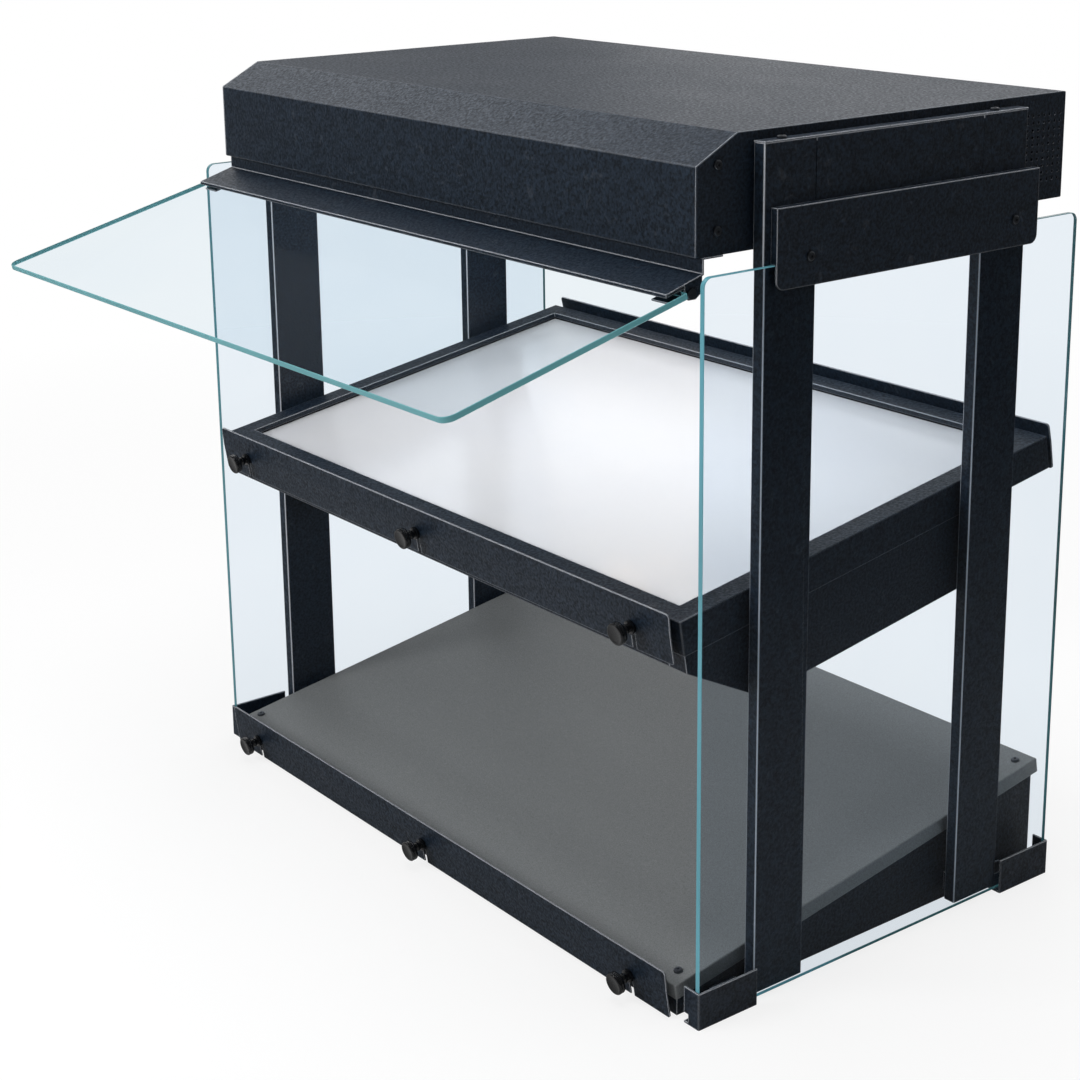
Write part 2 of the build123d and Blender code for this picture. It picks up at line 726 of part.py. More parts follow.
# Visor: a step down, then a lip that falls towards the customer
visor_top = hood_bottom
visor_knee = visor_top - visor_step
visor_tip_y = visor_back - visor_reach
visor_tip_z = visor_knee - visor_fall
lip_length = math.hypot(visor_reach, visor_fall)
knee_shift = visor_sheet * (lip_length - visor_fall) / visor_reach


def lip_underside(y):
    """Height of the lip's lower face at a place under it."""
    return visor_knee - knee_shift + (y - visor_back - visor_sheet) * visor_fall / visor_reach


visor_outline = [
    (visor_back + visor_return, visor_top),
    (visor_back, visor_top),
    (visor_back, visor_knee),
    (visor_tip_y, visor_tip_z),
    (visor_tip_y, visor_tip_z - visor_hem),
    (visor_tip_y + visor_sheet, visor_tip_z - visor_hem),
    (visor_tip_y + visor_sheet, lip_underside(visor_tip_y + visor_sheet)),
    (visor_back + visor_sheet, visor_knee - knee_shift),
    (visor_back + visor_sheet, visor_top - visor_sheet),
    (visor_back + visor_return, visor_top - visor_sheet),
]
visor = across(side_profile(visor_outline), -visor_half_width, visor_half_width)
ear_y0 = flip_axis_y - ear_front
ear_y1 = flip_axis_y + ear_rear
ear_bottom = flip_axis_z - knuckle_radius
ear_outline = [
    (ear_y0, lip_underside(ear_y0)),
    (ear_y0, ear_bottom + knuckle_radius),
    (flip_axis_y - knuckle_radius / 2, ear_bottom),
    (flip_axis_y + knuckle_radius, ear_bottom),
    (ear_y1, ear_bottom + knuckle_radius),
    (ear_y1, lip_underside(min(ear_y1, visor_back + visor_sheet))),
]
ear = across(side_profile(ear_outline), visor_half_width - visor_sheet, visor_half_width)
ear -= rod_x(flip_axis_y, flip_axis_z, pivot_radius + running_clearance,
             visor_half_width - past, visor_half_width + past)
visor = visor + ear + mirrored(ear)
visor_screw_y = visor_back + visor_return / 2
visor_screw_xs = [(index - (visor_screw_count - 1) / 2) * visor_screw_spacing for index in range(visor_screw_count)]
visor_drill = [rod_z(x, visor_screw_y, screw_radius + running_clearance, visor_top - visor_sheet - past,
                     pan_z1 + past) for x in visor_screw_xs]
visor -= visor_drill
save("visor", visor)
save("hood_pan", pan - visor_drill)
save("hood_shell", hood_shell - visor_drill)
panel_screws += [Pos(x, visor_screw_y, visor_top - visor_sheet) * Rot(180, 0, 0) * pan_screw()
                 for x in visor_screw_xs]


def on_flip(shape):
    """Place a piece drawn with the hinge axis on X and the pane pointing to -Y."""
    return Pos(0, flip_axis_y, flip_axis_z) * Rot(flip_rest_angle, 0, 0) * shape


# Flip-up pane, and the clasps that grip it
flip_pane = block(-flip_half_width, flip_half_width, -flip_edge_offset - flip_length, -flip_edge_offset,
                  flip_face_offset - flip_thickness, flip_face_offset)
flip_pane = fillet(flip_pane.edges().filter_by(Axis.Z).group_by(Axis.Y)[0], flip_corner)
save("flip_glass", on_flip(flip_pane))

knuckle_end = visor_half_width - visor_sheet - 2 * sheet_gap
clasp_face = flip_face_offset + clasp_upper
clasp_base = flip_face_offset - flip_thickness - clasp_lower
clasp = rod_x(0, 0, knuckle_radius, knuckle_end - knuckle_length, knuckle_end)
clasp += block(knuckle_end - clasp_width, knuckle_end, -clasp_length, 0, clasp_base, clasp_face)
clasp -= block(knuckle_end - clasp_width - past, knuckle_end + past, -clasp_length - past, -flip_edge_offset,
               flip_face_offset - flip_thickness, flip_face_offset)
clasp -= block(knuckle_end - clasp_width - past, knuckle_end - knuckle_length,
               -knuckle_radius, past, clasp_base - past, clasp_face + past)
clasp -= block(knuckle_end - clasp_width - past, knuckle_end + past,
               -knuckle_radius, past, knuckle_radius, clasp_face + past)
clasp -= rod_x(0, 0, pivot_radius + running_clearance, knuckle_end - 3 * knuckle_length, knuckle_end + past)
clasp = on_flip(clasp)
save("flip_clasps", clasp, mirrored(clasp))

hinge_pin = rod_x(flip_axis_y, flip_axis_z, pivot_radius, knuckle_end - knuckle_length, visor_half_width)
hinge_pin += rod_x(flip_axis_y, flip_axis_z, pin_head_radius, visor_half_width, visor_half_width + pin_head_length)
save("flip_hinge_pins", hinge_pin, mirrored(hinge_pin))


# Upper shelf: a folded frame round a clear heated pane
def on_shelf(shape):
    """Place a piece drawn level on the upper shelf."""
    return on_slope(shape, shelf_centre_y, shelf_centre_z)


def ring(half_x, half_y, width, z0, z1):
    """Rectangular ring that lies flat, measured inside, growing outwards."""
    outer = block(-half_x - width, half_x + width, -half_y - width, half_y + width, z0, z1)
    return outer - block(-half_x, half_x, -half_y, half_y, z0 - past, z1 + past)


opening_x = shelf_half_width - shelf_bezel_side
opening_u = shelf_half_depth - shelf_bezel_end
shelf_frame = block(-shelf_half_width, shelf_half_width, -shelf_half_depth, shelf_half_depth, -shelf_band, 0)
shelf_frame = fillet(shelf_frame.edges().filter_by(Axis.Z), bend_radius)
shelf_frame = fillet(shelf_frame.edges().group_by(Axis.Z)[-1], bend_radius * 0.8)
shelf_frame -= block(-shelf_half_width + shelf_sheet, shelf_half_width - shelf_sheet,
                     -shelf_half_depth + shelf_sheet, shelf_half_depth - shelf_sheet,
                     -shelf_band - past, -shelf_sheet)
shelf_frame -= block(-opening_x, opening_x, -opening_u, opening_u, -shelf_band, past)
shelf_frame += ring(opening_x, opening_u, duct_sheet, -shelf_lip, -shelf_sheet / 2)

thumb_xs = (-thumb_spacing, 0.0, thumb_spacing)
names_across = ("left", "middle", "right")
for x in thumb_xs:
    shelf_frame -= rod_y(x, -shelf_screw_drop, stud_radius + running_clearance,
                         -shelf_half_depth - past, -shelf_half_depth + past)
    shelf_frame -= rod_y(x, -shelf_screw_drop, stud_radius + running_clearance,
                         shelf_half_depth - past, shelf_half_depth + past)
save("shelf_frame", on_shelf(shelf_frame))

pane_top = -shelf_lip - gasket_thickness
pane_bottom = pane_top - pane_thickness
seat_w = pane_bottom - gasket_thickness
upper_gasket = ring(opening_x, opening_u, gasket_width, pane_top, -shelf_lip)
lower_gasket = ring(opening_x + pane_overlap - gasket_width, opening_u + pane_overlap - gasket_width,
                    gasket_width, seat_w, pane_bottom)
save("pane_gaskets", on_shelf(upper_gasket), on_shelf(lower_gasket))

pane_half_x = opening_x + pane_overlap
pane_half_u = opening_u + pane_overlap
shelf_pane = block(-pane_half_x, pane_half_x, -pane_half_u, pane_half_u, pane_bottom, pane_top)
save("shelf_pane", on_shelf(fillet(shelf_pane.edges().filter_by(Axis.Z), bend_radius * 2)))

# Side ducts under the pane's ends; their front corners are cut away
body_x = shelf_half_width - shelf_sheet - sheet_gap
body_u = shelf_half_depth - shelf_sheet - sheet_gap
body_top = -shelf_sheet
duct_profile = side_profile([
    (-body_u, past),
    (-body_u, -duct_front_depth),
    (duct_slant_u, -duct_depth),
    (duct_rear_u, -duct_depth),
    (duct_rear_u, -duct_rear_depth),
    (body_u, -duct_rear_depth),
    (body_u, past),
])
duct_inner_x = body_x - duct_width
duct_inside = offset(duct_profile, amount=-duct_sheet, kind=Kind.INTERSECTION)
duct = across(duct_profile, duct_inner_x, body_x)
duct -= across(duct_inside, duct_inner_x + duct_sheet, body_x - duct_sheet)
duct -= block(duct_inner_x - past, body_x + past, -body_u - past, body_u + past, body_top, 2 * past)
duct -= block(duct_inner_x - past, pane_half_x + sheet_gap, -body_u - past, body_u + past, seat_w, past)
duct += block(duct_inner_x, pane_half_x, -pane_half_u, pane_half_u, seat_w - duct_sheet, seat_w)
duct = on_shelf(duct)
for bolt_y, height in ((front_post_y, front_bolts[1]), (rear_post_y, rear_bolts[1])):
    duct -= rod_x(bolt_y, height, bolt_radius + running_clearance, body_x - past, body_x + past)
save("shelf_ducts", duct, mirrored(duct))


def busbar(side):
    """Metal strip bonded under one end of the heated pane."""
    x0, x1 = sorted((side * (opening_x - busbar_width), side * opening_x))
    return on_shelf(block(x0, x1, -opening_u, opening_u, pane_bottom - busbar_thickness, pane_bottom))


save("pane_busbars", busbar(-1), busbar(1))


def shelf_rail(depth):
    """Folded rail between the ducts along the front edge, with a seat for the pane."""
    half = duct_inner_x - sheet_gap
    wall = block(-half, half, -body_u, -body_u + duct_sheet, -depth, body_top)
    foot = block(-half, half, -body_u, -body_u + rail_return, -depth, -depth + duct_sheet)
    seat = block(-half, half, -body_u, -opening_u, seat_w - duct_sheet, seat_w)
    rail_solid = wall + foot + seat
    for x in thumb_xs:
        rail_solid -= rod_y(x, -shelf_screw_drop, stud_radius + running_clearance, -body_u - past, -body_u + past)
    return rail_solid


front_rail = shelf_rail(duct_front_depth)
rear_rail = mirror(shelf_rail(duct_rear_depth), about=Plane.XZ)
save("shelf_rails", on_shelf(front_rail), on_shelf(rear_rail))

# Fascia plates and their thumbscrews, drawn for a face at y = 0 that looks to -Y
plate_back = -fascia_gap
plate_face = plate_back - fascia_sheet


def fascia(seat_drop):
    """Bent plate with three slots that open downwards; seat_drop is the screws' depth."""
    bottom = -seat_drop - slot_rise
    knee = bottom + fascia_height - fascia_upper
    top = bottom + fascia_height
    outline = [
        (plate_face, bottom),
        (plate_face, knee),
        (plate_face + fascia_upper_lean, top),
        (plate_back + fascia_upper_lean, top),
        (plate_back, knee),
        (plate_back, bottom),
    ]
    plate = across(side_profile(outline), -fascia_half_width, fascia_half_width)
    corner_edges = [edge for edge in plate.edges() if edge.length < 2 * fascia_sheet
                    and abs(edge.center().X) > fascia_half_width - past]
    low_edges = [edge for edge in corner_edges if edge.center().Z < bottom + past]
    plate = fillet(low_edges, fascia_corner)
    high_edges = [edge for edge in plate.edges() if edge.length < 2 * fascia_sheet
                  and edge.center().Z > top - past and abs(edge.center().X) > fascia_half_width - past]
    plate = fillet(high_edges, fascia_top_corner)
    for x in thumb_xs:
        plate -= rod_y(x, -seat_drop, slot_width / 2, plate_face - past, plate_back + past)
        plate -= block(x - slot_width / 2, x + slot_width / 2, plate_face - past, plate_back + past,
                       bottom - past, -seat_drop)
    return plate


def standoff(x, seat_drop):
    """Threaded spacer between a sheet face and its fascia."""
    tube = rod_y(x, -seat_drop, standoff_radius, plate_back + seat_clearance, 0)
    return tube - rod_y(x, -seat_drop, stud_radius + running_clearance, plate_back - past, past)


def thumbscrew(x, seat_drop):
    """Knob, neck, collar and stud in one turned piece."""
    collar_y = plate_face - seat_clearance
    neck_y = collar_y - collar_length
    head_y = neck_y - neck_length
    knob = rod_y(x, -seat_drop, head_radius, head_y - head_length, head_y)
    knob = fillet(knob.edges().filter_by(GeomType.CIRCLE), head_length * 0.2)
    collar = rod_y(x, -seat_drop, collar_radius, neck_y, collar_y)
    neck = rod_y(x, -seat_drop, neck_radius, head_y, neck_y)
    stud = rod_y(x, -seat_drop, stud_radius, collar_y, plate_back + stud_reach)
    return knob + neck + collar + stud


def to_shelf_front(shape):
    """Place a fascia piece on the shelf's front face."""
    return on_shelf(Pos(0, -shelf_half_depth, 0) * shape)


def to_shelf_rear(shape):
    """Place a fascia piece on the shelf's rear face."""
    return on_shelf(Pos(0, shelf_half_depth, 0) * Rot(0, 0, 180) * shape)


def on_base(shape):
    """Place a piece drawn level on the base."""
    return on_slope(shape, base_centre_y, base_centre_z)


def to_base_front(shape):
    """Place a fascia piece on the base plate's front lip."""
    return on_base(Pos(0, -base_half_depth, 0) * shape)


fascia_places = (
    ("shelf_front", to_shelf_front, shelf_screw_drop),
    ("shelf_rear", to_shelf_rear, shelf_screw_drop),
    ("base_front", to_base_front, base_screw_drop),
)
standoffs = []
for place, put, drop in fascia_places:
    save(f"{place}_fascia", put(fascia(drop)))
    standoffs += [put(standoff(x, drop)) for x in thumb_xs]
    ordered_xs = thumb_xs[::-1] if place == "shelf_rear" else thumb_xs
    for x, name in zip(ordered_xs, names_across):
        save(f"{place}_thumbscrew_{name}", put(thumbscrew(x, drop)))
save("fascia_standoffs", *standoffs)

# Base plate: a shallow lid with turned-down lips
base_plate = block(-base_half_width, base_half_width, -base_half_depth, base_half_depth, -base_lip, 0)
base_plate = fillet(base_plate.edges().filter_by(Axis.Z), bend_radius)
base_plate = fillet(base_plate.edges().group_by(Axis.Z)[-1], bend_radius)
base_plate -= block(-base_half_width + base_plate_thickness, base_half_width - base_plate_thickness,
                    -base_half_depth + base_plate_thickness, base_half_depth - base_plate_thickness,
                    -base_lip - past, -base_plate_thickness)
for x in thumb_xs:
    base_plate -= rod_y(x, -base_screw_drop, stud_radius + running_clearance,
                        -base_half_depth - past, -base_half_depth + past)
base_screw_places = [(side_x * (base_half_width - base_screw_side_inset),
                      side_u * (base_half_depth - base_screw_end_inset))
                     for side_x in (-1, 1) for side_u in (-1, 1)]
base_drill = [rod_z(x, u, screw_radius + running_clearance, -screw_reach - past, past)
              for x, u in base_screw_places]
save("base_plate", on_base(base_plate - base_drill))
panel_screws += [on_base(Pos(x, u, 0) * pan_screw()) for x, u in base_screw_places]
save("panel_screws", *panel_screws)

# Base body: an upright-walled tub whose rim follows the slope
lip_inner_u = base_half_depth - base_plate_thickness
tub_y0 = sloped_point(base_centre_y, base_centre_z, -lip_inner_u, -base_lip)[0] + sheet_gap
tub_y1 = sloped_point(base_centre_y, base_centre_z, lip_inner_u, -base_plate_thickness)[0] - body_rear_gap


def base_underside(y):
    """Height of the base plate's lower face at a place from front to back."""
    u = along_slope(base_centre_y, y, -base_plate_thickness)
    return sloped_point(base_centre_y, base_centre_z, u, -base_plate_thickness)[1]


tub_profile = side_profile([
    (tub_y0, 0),
    (tub_y1, 0),
    (tub_y1, base_underside(tub_y1)),
    (tub_y0, base_underside(tub_y0)),
])
tub_cut_profile = side_profile([
    (tub_y0 + body_sheet, body_sheet),
    (tub_y1 - body_sheet, body_sheet),
    (tub_y1 - body_sheet, base_underside(tub_y1) + past),
    (tub_y0 + body_sheet, base_underside(tub_y0) + past),
])
tub_solid = across(tub_profile, -tub_x, tub_x)
tub = tub_solid - across(tub_cut_profile, -tub_x + body_sheet, tub_x - body_sheet)
rim_x = tub_x - body_flange
rim_u = lip_inner_u - body_flange
rim = block(-tub_x, tub_x, -lip_inner_u, lip_inner_u, -base_plate_thickness - body_sheet, -base_plate_thickness)
rim -= block(-rim_x, rim_x, -rim_u, rim_u, -base_lip, past)
tub += on_base(rim) & tub_solid
for drill in base_drill:
    tub -= on_base(drill)
for x in thumb_xs:
    tub -= on_base(rod_y(x, -base_screw_drop, stud_radius + running_clearance,
                         -base_half_depth - past, -base_half_depth + 4 * past))
tub_bolts = [rod_x(bolt_y, base_bolt_z, bolt_radius + running_clearance, tub_x - past, tub_x + past)
             for bolt_y in (front_post_y, rear_post_y)]
for drill in tub_bolts:
    tub = tub - drill - mirrored(drill)
shoe_drill = rod_x(shoe_screw_y, shoe_screw_z, screw_radius + running_clearance, tub_x - past, tub_x + past)
for drill in (shoe_drill, mirror(shoe_drill, about=Plane.XZ)):
    tub = tub - drill - mirrored(drill)
tub -= Pos(tub_x, 0, 0) * low_opening


def switch_cut(x):
    """Window for one rocker switch."""
    return block(x - rocker_width / 2 - sheet_gap, x + rocker_width / 2 + sheet_gap,
                 tub_y1 - body_sheet - past, tub_y1 + past,
                 control_z - rocker_height / 2 - sheet_gap, control_z + rocker_height / 2 + sheet_gap)


for x in (power_switch_x, lamp_switch_x):
    tub -= switch_cut(x)
for x in (base_dial_x, hood_dial_x):
    tub -= rod_y(x, control_z, dial_shaft_radius + running_clearance, tub_y1 - body_sheet - past, tub_y1 + past)
tub -= rod_y(gland_x, control_z, gland_bore_radius + gland_wall, tub_y1 - body_sheet - past, tub_y1 + past)
save("base_body", tub)

# Heating pad pressed to the base plate, insulation and the tray that holds them up
pad_top = -base_plate_thickness
pad_bottom = pad_top - heater_pad_thickness
board_bottom = pad_bottom - insulation_thickness
heater_pad = block(-heater_pad_half_width, heater_pad_half_width, -heater_pad_half_depth, heater_pad_half_depth,
                   pad_bottom, pad_top)
save("heater_pad", on_base(heater_pad))
board = block(-heater_pad_half_width, heater_pad_half_width, -heater_pad_half_depth, heater_pad_half_depth,
              board_bottom, pad_bottom)
save("insulation_board", on_base(board))
tray_x = rim_x + tray_margin
tray_u = rim_u + tray_margin
tray_top = pad_top - body_sheet
tray = block(-tray_x, tray_x, -tray_u, tray_u, board_bottom - tray_sheet, tray_top)
tray -= block(-tray_x + tray_sheet, tray_x - tray_sheet, -tray_u + tray_sheet, tray_u - tray_sheet,
              board_bottom, past)
save("insulation_tray", on_base(tray))

# Spacers and bolts between the posts and the hood, shelf and base
bolt_rows = (
    (hood_half_width, hood_end_sheet, hood_spacer_height, (hood_bolt_z, hood_bolt_z)),
    (body_x, duct_sheet, shelf_spacer_height, (front_bolts[1], rear_bolts[1])),
    (tub_x, body_sheet, base_spacer_height, (base_bolt_z, base_bolt_z)),
)
frame_bolts = []
spacers = []
for face_x, wall, height, bolt_zs in bolt_rows:
    for bolt_y, bolt_z in zip((front_post_y, rear_post_y), bolt_zs):
        spacer = block(face_x, post_inner_x, bolt_y - spacer_width / 2, bolt_y + spacer_width / 2,
                       bolt_z - height / 2, bolt_z + height / 2)
        spacer -= rod_x(bolt_y, bolt_z, bolt_radius + running_clearance, face_x - past, post_inner_x + past)
        spacers += [spacer, mirrored(spacer)]
        head_x = face_x - wall
        head = Pos(head_x - bolt_head_height, bolt_y, bolt_z) * Rot(0, 90, 0) * extrude(
            RegularPolygon(bolt_head_radius, 6), amount=bolt_head_height)
        bolt = head + rod_x(bolt_y, bolt_z, bolt_radius, head_x, post_inner_x + post_wall + bolt_grip)
        frame_bolts += [bolt, mirrored(bolt)]
save("frame_spacers", *spacers)
save("frame_bolts", *frame_bolts)

# Controls on the rear wall of the base
control_face = tub_y1


def switch_body(x):
    """Switch case with a bezel outside the wall, hollow where the rocker sits."""
    half_w = rocker_width / 2
    half_h = rocker_height / 2
    bezel = block(x - half_w - switch_bezel, x + half_w + switch_bezel, control_face,
                  control_face + switch_bezel_proud, control_z - half_h - switch_bezel,
                  control_z + half_h + switch_bezel)
    case = block(x - half_w, x + half_w, control_face - switch_body_depth, control_face,
                 control_z - half_h, control_z + half_h)
    well = block(x - half_w + duct_sheet, x + half_w - duct_sheet, control_face - rocker_depth,
                 control_face + past, control_z - half_h + duct_sheet, control_z + half_h - duct_sheet)
    pivot = rod_x(rocker_pivot_y, control_z, rocker_pivot_radius, x - half_w, x + half_w)
    return bezel + case - well + pivot


rocker_pivot_y = control_face - rocker_depth / 3


def rocker(x):
    """Rocker with a dished face; it rests with its upper end out."""
    half_w = rocker_width / 2 - duct_sheet - sheet_gap
    half_h = rocker_height / 2 - duct_sheet - rocker_play
    back = rocker_pivot_y - 2 * rocker_pivot_radius
    front = control_face + switch_bezel_proud / 2
    outline = [
        (back, control_z - half_h * 0.7),
        (front + rocker_dish, control_z - half_h),
        (front, control_z),
        (front + rocker_dish, control_z + half_h),
        (back, control_z + half_h * 0.7),
    ]
    body = across(side_profile(outline), x - half_w, x + half_w)
    body = body.rotate(Axis((0, rocker_pivot_y, control_z), (1, 0, 0)), -rocker_throw / 2)
    return body - rod_x(rocker_pivot_y, control_z, rocker_pivot_radius + running_clearance,
                        x - rocker_width, x + rocker_width)


save("switch_bodies", switch_body(power_switch_x), switch_body(lamp_switch_x))
save("power_rocker", rocker(power_switch_x))
save("lamp_rocker", rocker(lamp_switch_x))


def thermostat(x):
    """Heat control behind the wall, with a bore for the dial's shaft."""
    half = thermostat_size / 2
    case = block(x - half, x + half, control_face - body_sheet - thermostat_depth, control_face - body_sheet,
                 control_z - half, control_z + half)
    bore_end = control_face - body_sheet - thermostat_depth * 0.7
    return case - rod_y(x, control_z, dial_shaft_radius + running_clearance, bore_end, control_face + past)


def dial(x):
    """Round dial with a raised finger grip, on its own shaft."""
    disc_y = control_face + dial_standoff
    disc = rod_y(x, control_z, dial_radius, disc_y, disc_y + dial_height / 2)
    grip = block(x - dial_grip_width / 2, x + dial_grip_width / 2, disc_y, disc_y + dial_height,
                 control_z - dial_radius * 0.92, control_z + dial_radius * 0.92)
    grip = fillet(grip.edges().filter_by(Axis.Z), dial_grip_width * 0.3)
    shaft_end = control_face - body_sheet - thermostat_depth * 0.6
    return disc + grip + rod_y(x, control_z, dial_shaft_radius, shaft_end, disc_y)


save("thermostats", thermostat(base_dial_x), thermostat(hood_dial_x))
save("base_heat_dial", dial(base_dial_x))
save("hood_heat_dial", dial(hood_dial_x))

# Cord gland
gland = rod_y(gland_x, control_z, gland_bore_radius + gland_wall, control_face - gland_length, control_face)
gland += rod_y(gland_x, control_z, gland_bore_radius + gland_wall + gland_flange,
               control_face, control_face + gland_flange)
gland -= rod_y(gland_x, control_z, gland_bore_radius, control_face - gland_length - past,
               control_face + gland_flange + past)
save("cord_gland", gland)

# Supply cable up the right rear post
cable_x = post_inner_x + post_width / 2
cable_path = FilletPolyline(
    (tub_x - cable_base_tail, cable_y, cable_low_z),
    (cable_x, cable_y, cable_low_z),
    (cable_x, cable_y, cable_high_z),
    (hood_half_width - cable_hood_tail, cable_y, cable_high_z),
    radius=cable_bend,
)
cable_section = Plane(cable_path @ 0, z_dir=cable_path % 0) * Circle(cable_radius)
cable = sweep(cable_section, path=cable_path)
print("cable volume ratio", round(cable.volume / (math.pi * cable_radius ** 2 * cable_path.length), 4))
save("supply_cable", cable)
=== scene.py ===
import json
import math

import bmesh
import bpy
from mathutils import Matrix, Vector


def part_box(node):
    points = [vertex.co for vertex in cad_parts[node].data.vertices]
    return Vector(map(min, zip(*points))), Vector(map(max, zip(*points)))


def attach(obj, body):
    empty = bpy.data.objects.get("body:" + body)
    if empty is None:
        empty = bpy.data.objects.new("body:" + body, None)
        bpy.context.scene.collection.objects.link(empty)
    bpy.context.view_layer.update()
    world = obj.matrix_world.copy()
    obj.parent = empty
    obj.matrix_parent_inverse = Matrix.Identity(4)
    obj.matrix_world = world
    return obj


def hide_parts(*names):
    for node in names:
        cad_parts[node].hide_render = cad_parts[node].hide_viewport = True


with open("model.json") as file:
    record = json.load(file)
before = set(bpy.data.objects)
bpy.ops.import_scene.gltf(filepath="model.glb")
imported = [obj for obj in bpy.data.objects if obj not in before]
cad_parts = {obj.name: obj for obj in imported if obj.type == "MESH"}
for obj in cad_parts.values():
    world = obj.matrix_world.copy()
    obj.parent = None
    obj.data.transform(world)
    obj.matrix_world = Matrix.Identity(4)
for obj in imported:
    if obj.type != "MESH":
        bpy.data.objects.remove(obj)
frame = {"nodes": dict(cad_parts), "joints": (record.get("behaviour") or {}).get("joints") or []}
nodes = frame["nodes"]
joints = {joint["name"]: joint for joint in frame["joints"]}

# The file that Blender starts with holds a cube, a lamp and a camera
for starter in ("Cube", "Light", "Camera"):
    if starter in bpy.data.objects and starter not in nodes:
        bpy.data.objects.remove(bpy.data.objects[starter])
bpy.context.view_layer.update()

# Camera, fitted to the straight edges of the photograph
camera_place = Vector((1.7705, -1.4461, 1.0991))
camera_yaw = 0.9184
camera_pitch = 0.2570
camera_roll = -0.0130
camera_lens = 70.425
camera_sensor = 36.0
camera_shift = -0.14

# Edges that turn by more than this stay sharp in the smooth-shaded pieces
sharp_from = math.radians(38)

# Glass, in metres, in the places that the frame gives
arris = 0.0006
corner_steps = 10
side_corner = 0.009
side_relief = 0.0004
shelf_slope = math.radians(9.4)
shelf_centre = Vector((0.0, -0.001, 0.446))
shelf_pane_half_depth = 0.242
shelf_pane_faces = (-0.013, -0.008)
shelf_pane_corner = 0.002
flip_angle = math.radians(14.5)
flip_reach = (0.0088, 0.2778)
flip_faces = (-0.0001, 0.0059)
flip_outer_corner = 0.012
flip_inner_corner = 0.002

# Turned thumbscrews: distance back from the tip, radius
thumbscrew_profile = (
    (0.0010, 0.0072), (0.0004, 0.0086), (0.0, 0.0098), (0.0003, 0.0107), (0.0011, 0.0113),
    (0.0022, 0.0114), (0.0028, 0.0110), (0.0034, 0.0110), (0.0040, 0.0114), (0.0060, 0.0114),
    (0.0071, 0.0108), (0.0075, 0.0096), (0.0075, 0.0056), (0.0079, 0.0047), (0.0092, 0.0038),
    (0.0104, 0.0040), (0.0114, 0.0050), (0.0130, 0.0054), (0.0146, 0.0050), (0.0156, 0.0041),
    (0.0170, 0.0041), (0.0171, 0.0062), (0.0176, 0.0069), (0.0184, 0.0070), (0.0202, 0.0070),
    (0.0208, 0.0068), (0.0210, 0.0062),
)
stud_radius = 0.0030
turned_sides = 48

# Only a thumbscrew's head is wider than this radius
head_from = 0.0095

# Printed marks of the rear controls
print_height = 0.00015
dial_sweep = math.radians(270)
dial_marks = 10
dial_mark_radius = 0.0195
dial_mark_lengths = (0.002, 0.0045)
mark_width = 0.0009
dial_front = 0.016
pointer_reach = (0.005, 0.0145)
pointer_width = 0.0014
switch_mark_reach = 0.0175
switch_bar_length = 0.004
switch_ring_radius = 0.0014
switch_ring_width = 0.0007

# The joints between the posts and the top rails are filled. Between these two heights, and within
# this much of the middle, no pale edge, the painted highlight, shows in the coat. For other sheet the
# first is far above the case
post_seams_above = 0.705
seam_top = 0.832
seam_reach = 0.13
no_seams = 9.0

# Surroundings, against 1 for white. In reflections the floor's level goes from the first value at
# the far right of the case to the second at its near left, over this span in metres, and the sky's
# rises towards the far left
ambient_light = 0.28
floor_in_reflections = (0.04, 0.16)
sky_in_reflections = (0.05, 0.38)
near_left = Vector((-0.7, -0.7, 0.0))
far_left = Vector((-0.62, 0.70, 0.35)).normalized()
floor_span = (-1.0, 1.5)

# The floor's disc. It is part plain white, by the first share up to the first distance from the
# middle, and by the second share from the second distance
floor_radii = (3.0, 60.0)
floor_sides = 64
floor_fade = (0.9, 2.6)
floor_white = (0.80, 1.0)


# Mesh helpers


def keep_piece(name, bm, finishes, body, replaced):
    """Turns a bmesh into a smooth-shaded piece that rides on a body, in place of CAD nodes or beside
    them."""
    bmesh.ops.recalc_face_normals(bm, faces=bm.faces)
    mesh = bpy.data.meshes.new(name)
    bm.to_mesh(mesh)
    bm.free()
    for finish in finishes:
        mesh.materials.append(finish)
    mesh.shade_smooth()
    mesh.set_sharp_from_angle(angle=sharp_from)
    piece = bpy.data.objects.new(name, mesh)
    bpy.context.scene.collection.objects.link(piece)
    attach(piece, body)
    if replaced:
        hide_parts(*replaced)
    return piece


def join_rings(bm, first, second, finish=0):
    """A closed band of quads between two rings of as many points."""
    count = len(first)
    for i in range(count):
        face = bm.faces.new((first[i], first[(i + 1) % count], second[(i + 1) % count], second[i]))
        face.material_index = finish


def rounded_outline(half_width, low, high, low_corner, high_corner, inset):
    """Points round a rectangle, with one radius at its low corners and one at its high corners."""
    points = []
    corners = (
        (1, low, low_corner, -90), (1, high, high_corner, 0),
        (-1, high, high_corner, 90), (-1, low, low_corner, 180),
    )
    for side, level, radius, start in corners:
        inward = 1 if level == low else -1
        centre = (side * (half_width - radius), level + inward * radius)
        for step in range(corner_steps + 1):
            turn = math.radians(start + 90 * step / corner_steps)
            points.append((
                centre[0] + (radius - inset) * math.cos(turn),
                centre[1] + (radius - inset) * math.sin(turn),
            ))
    return points


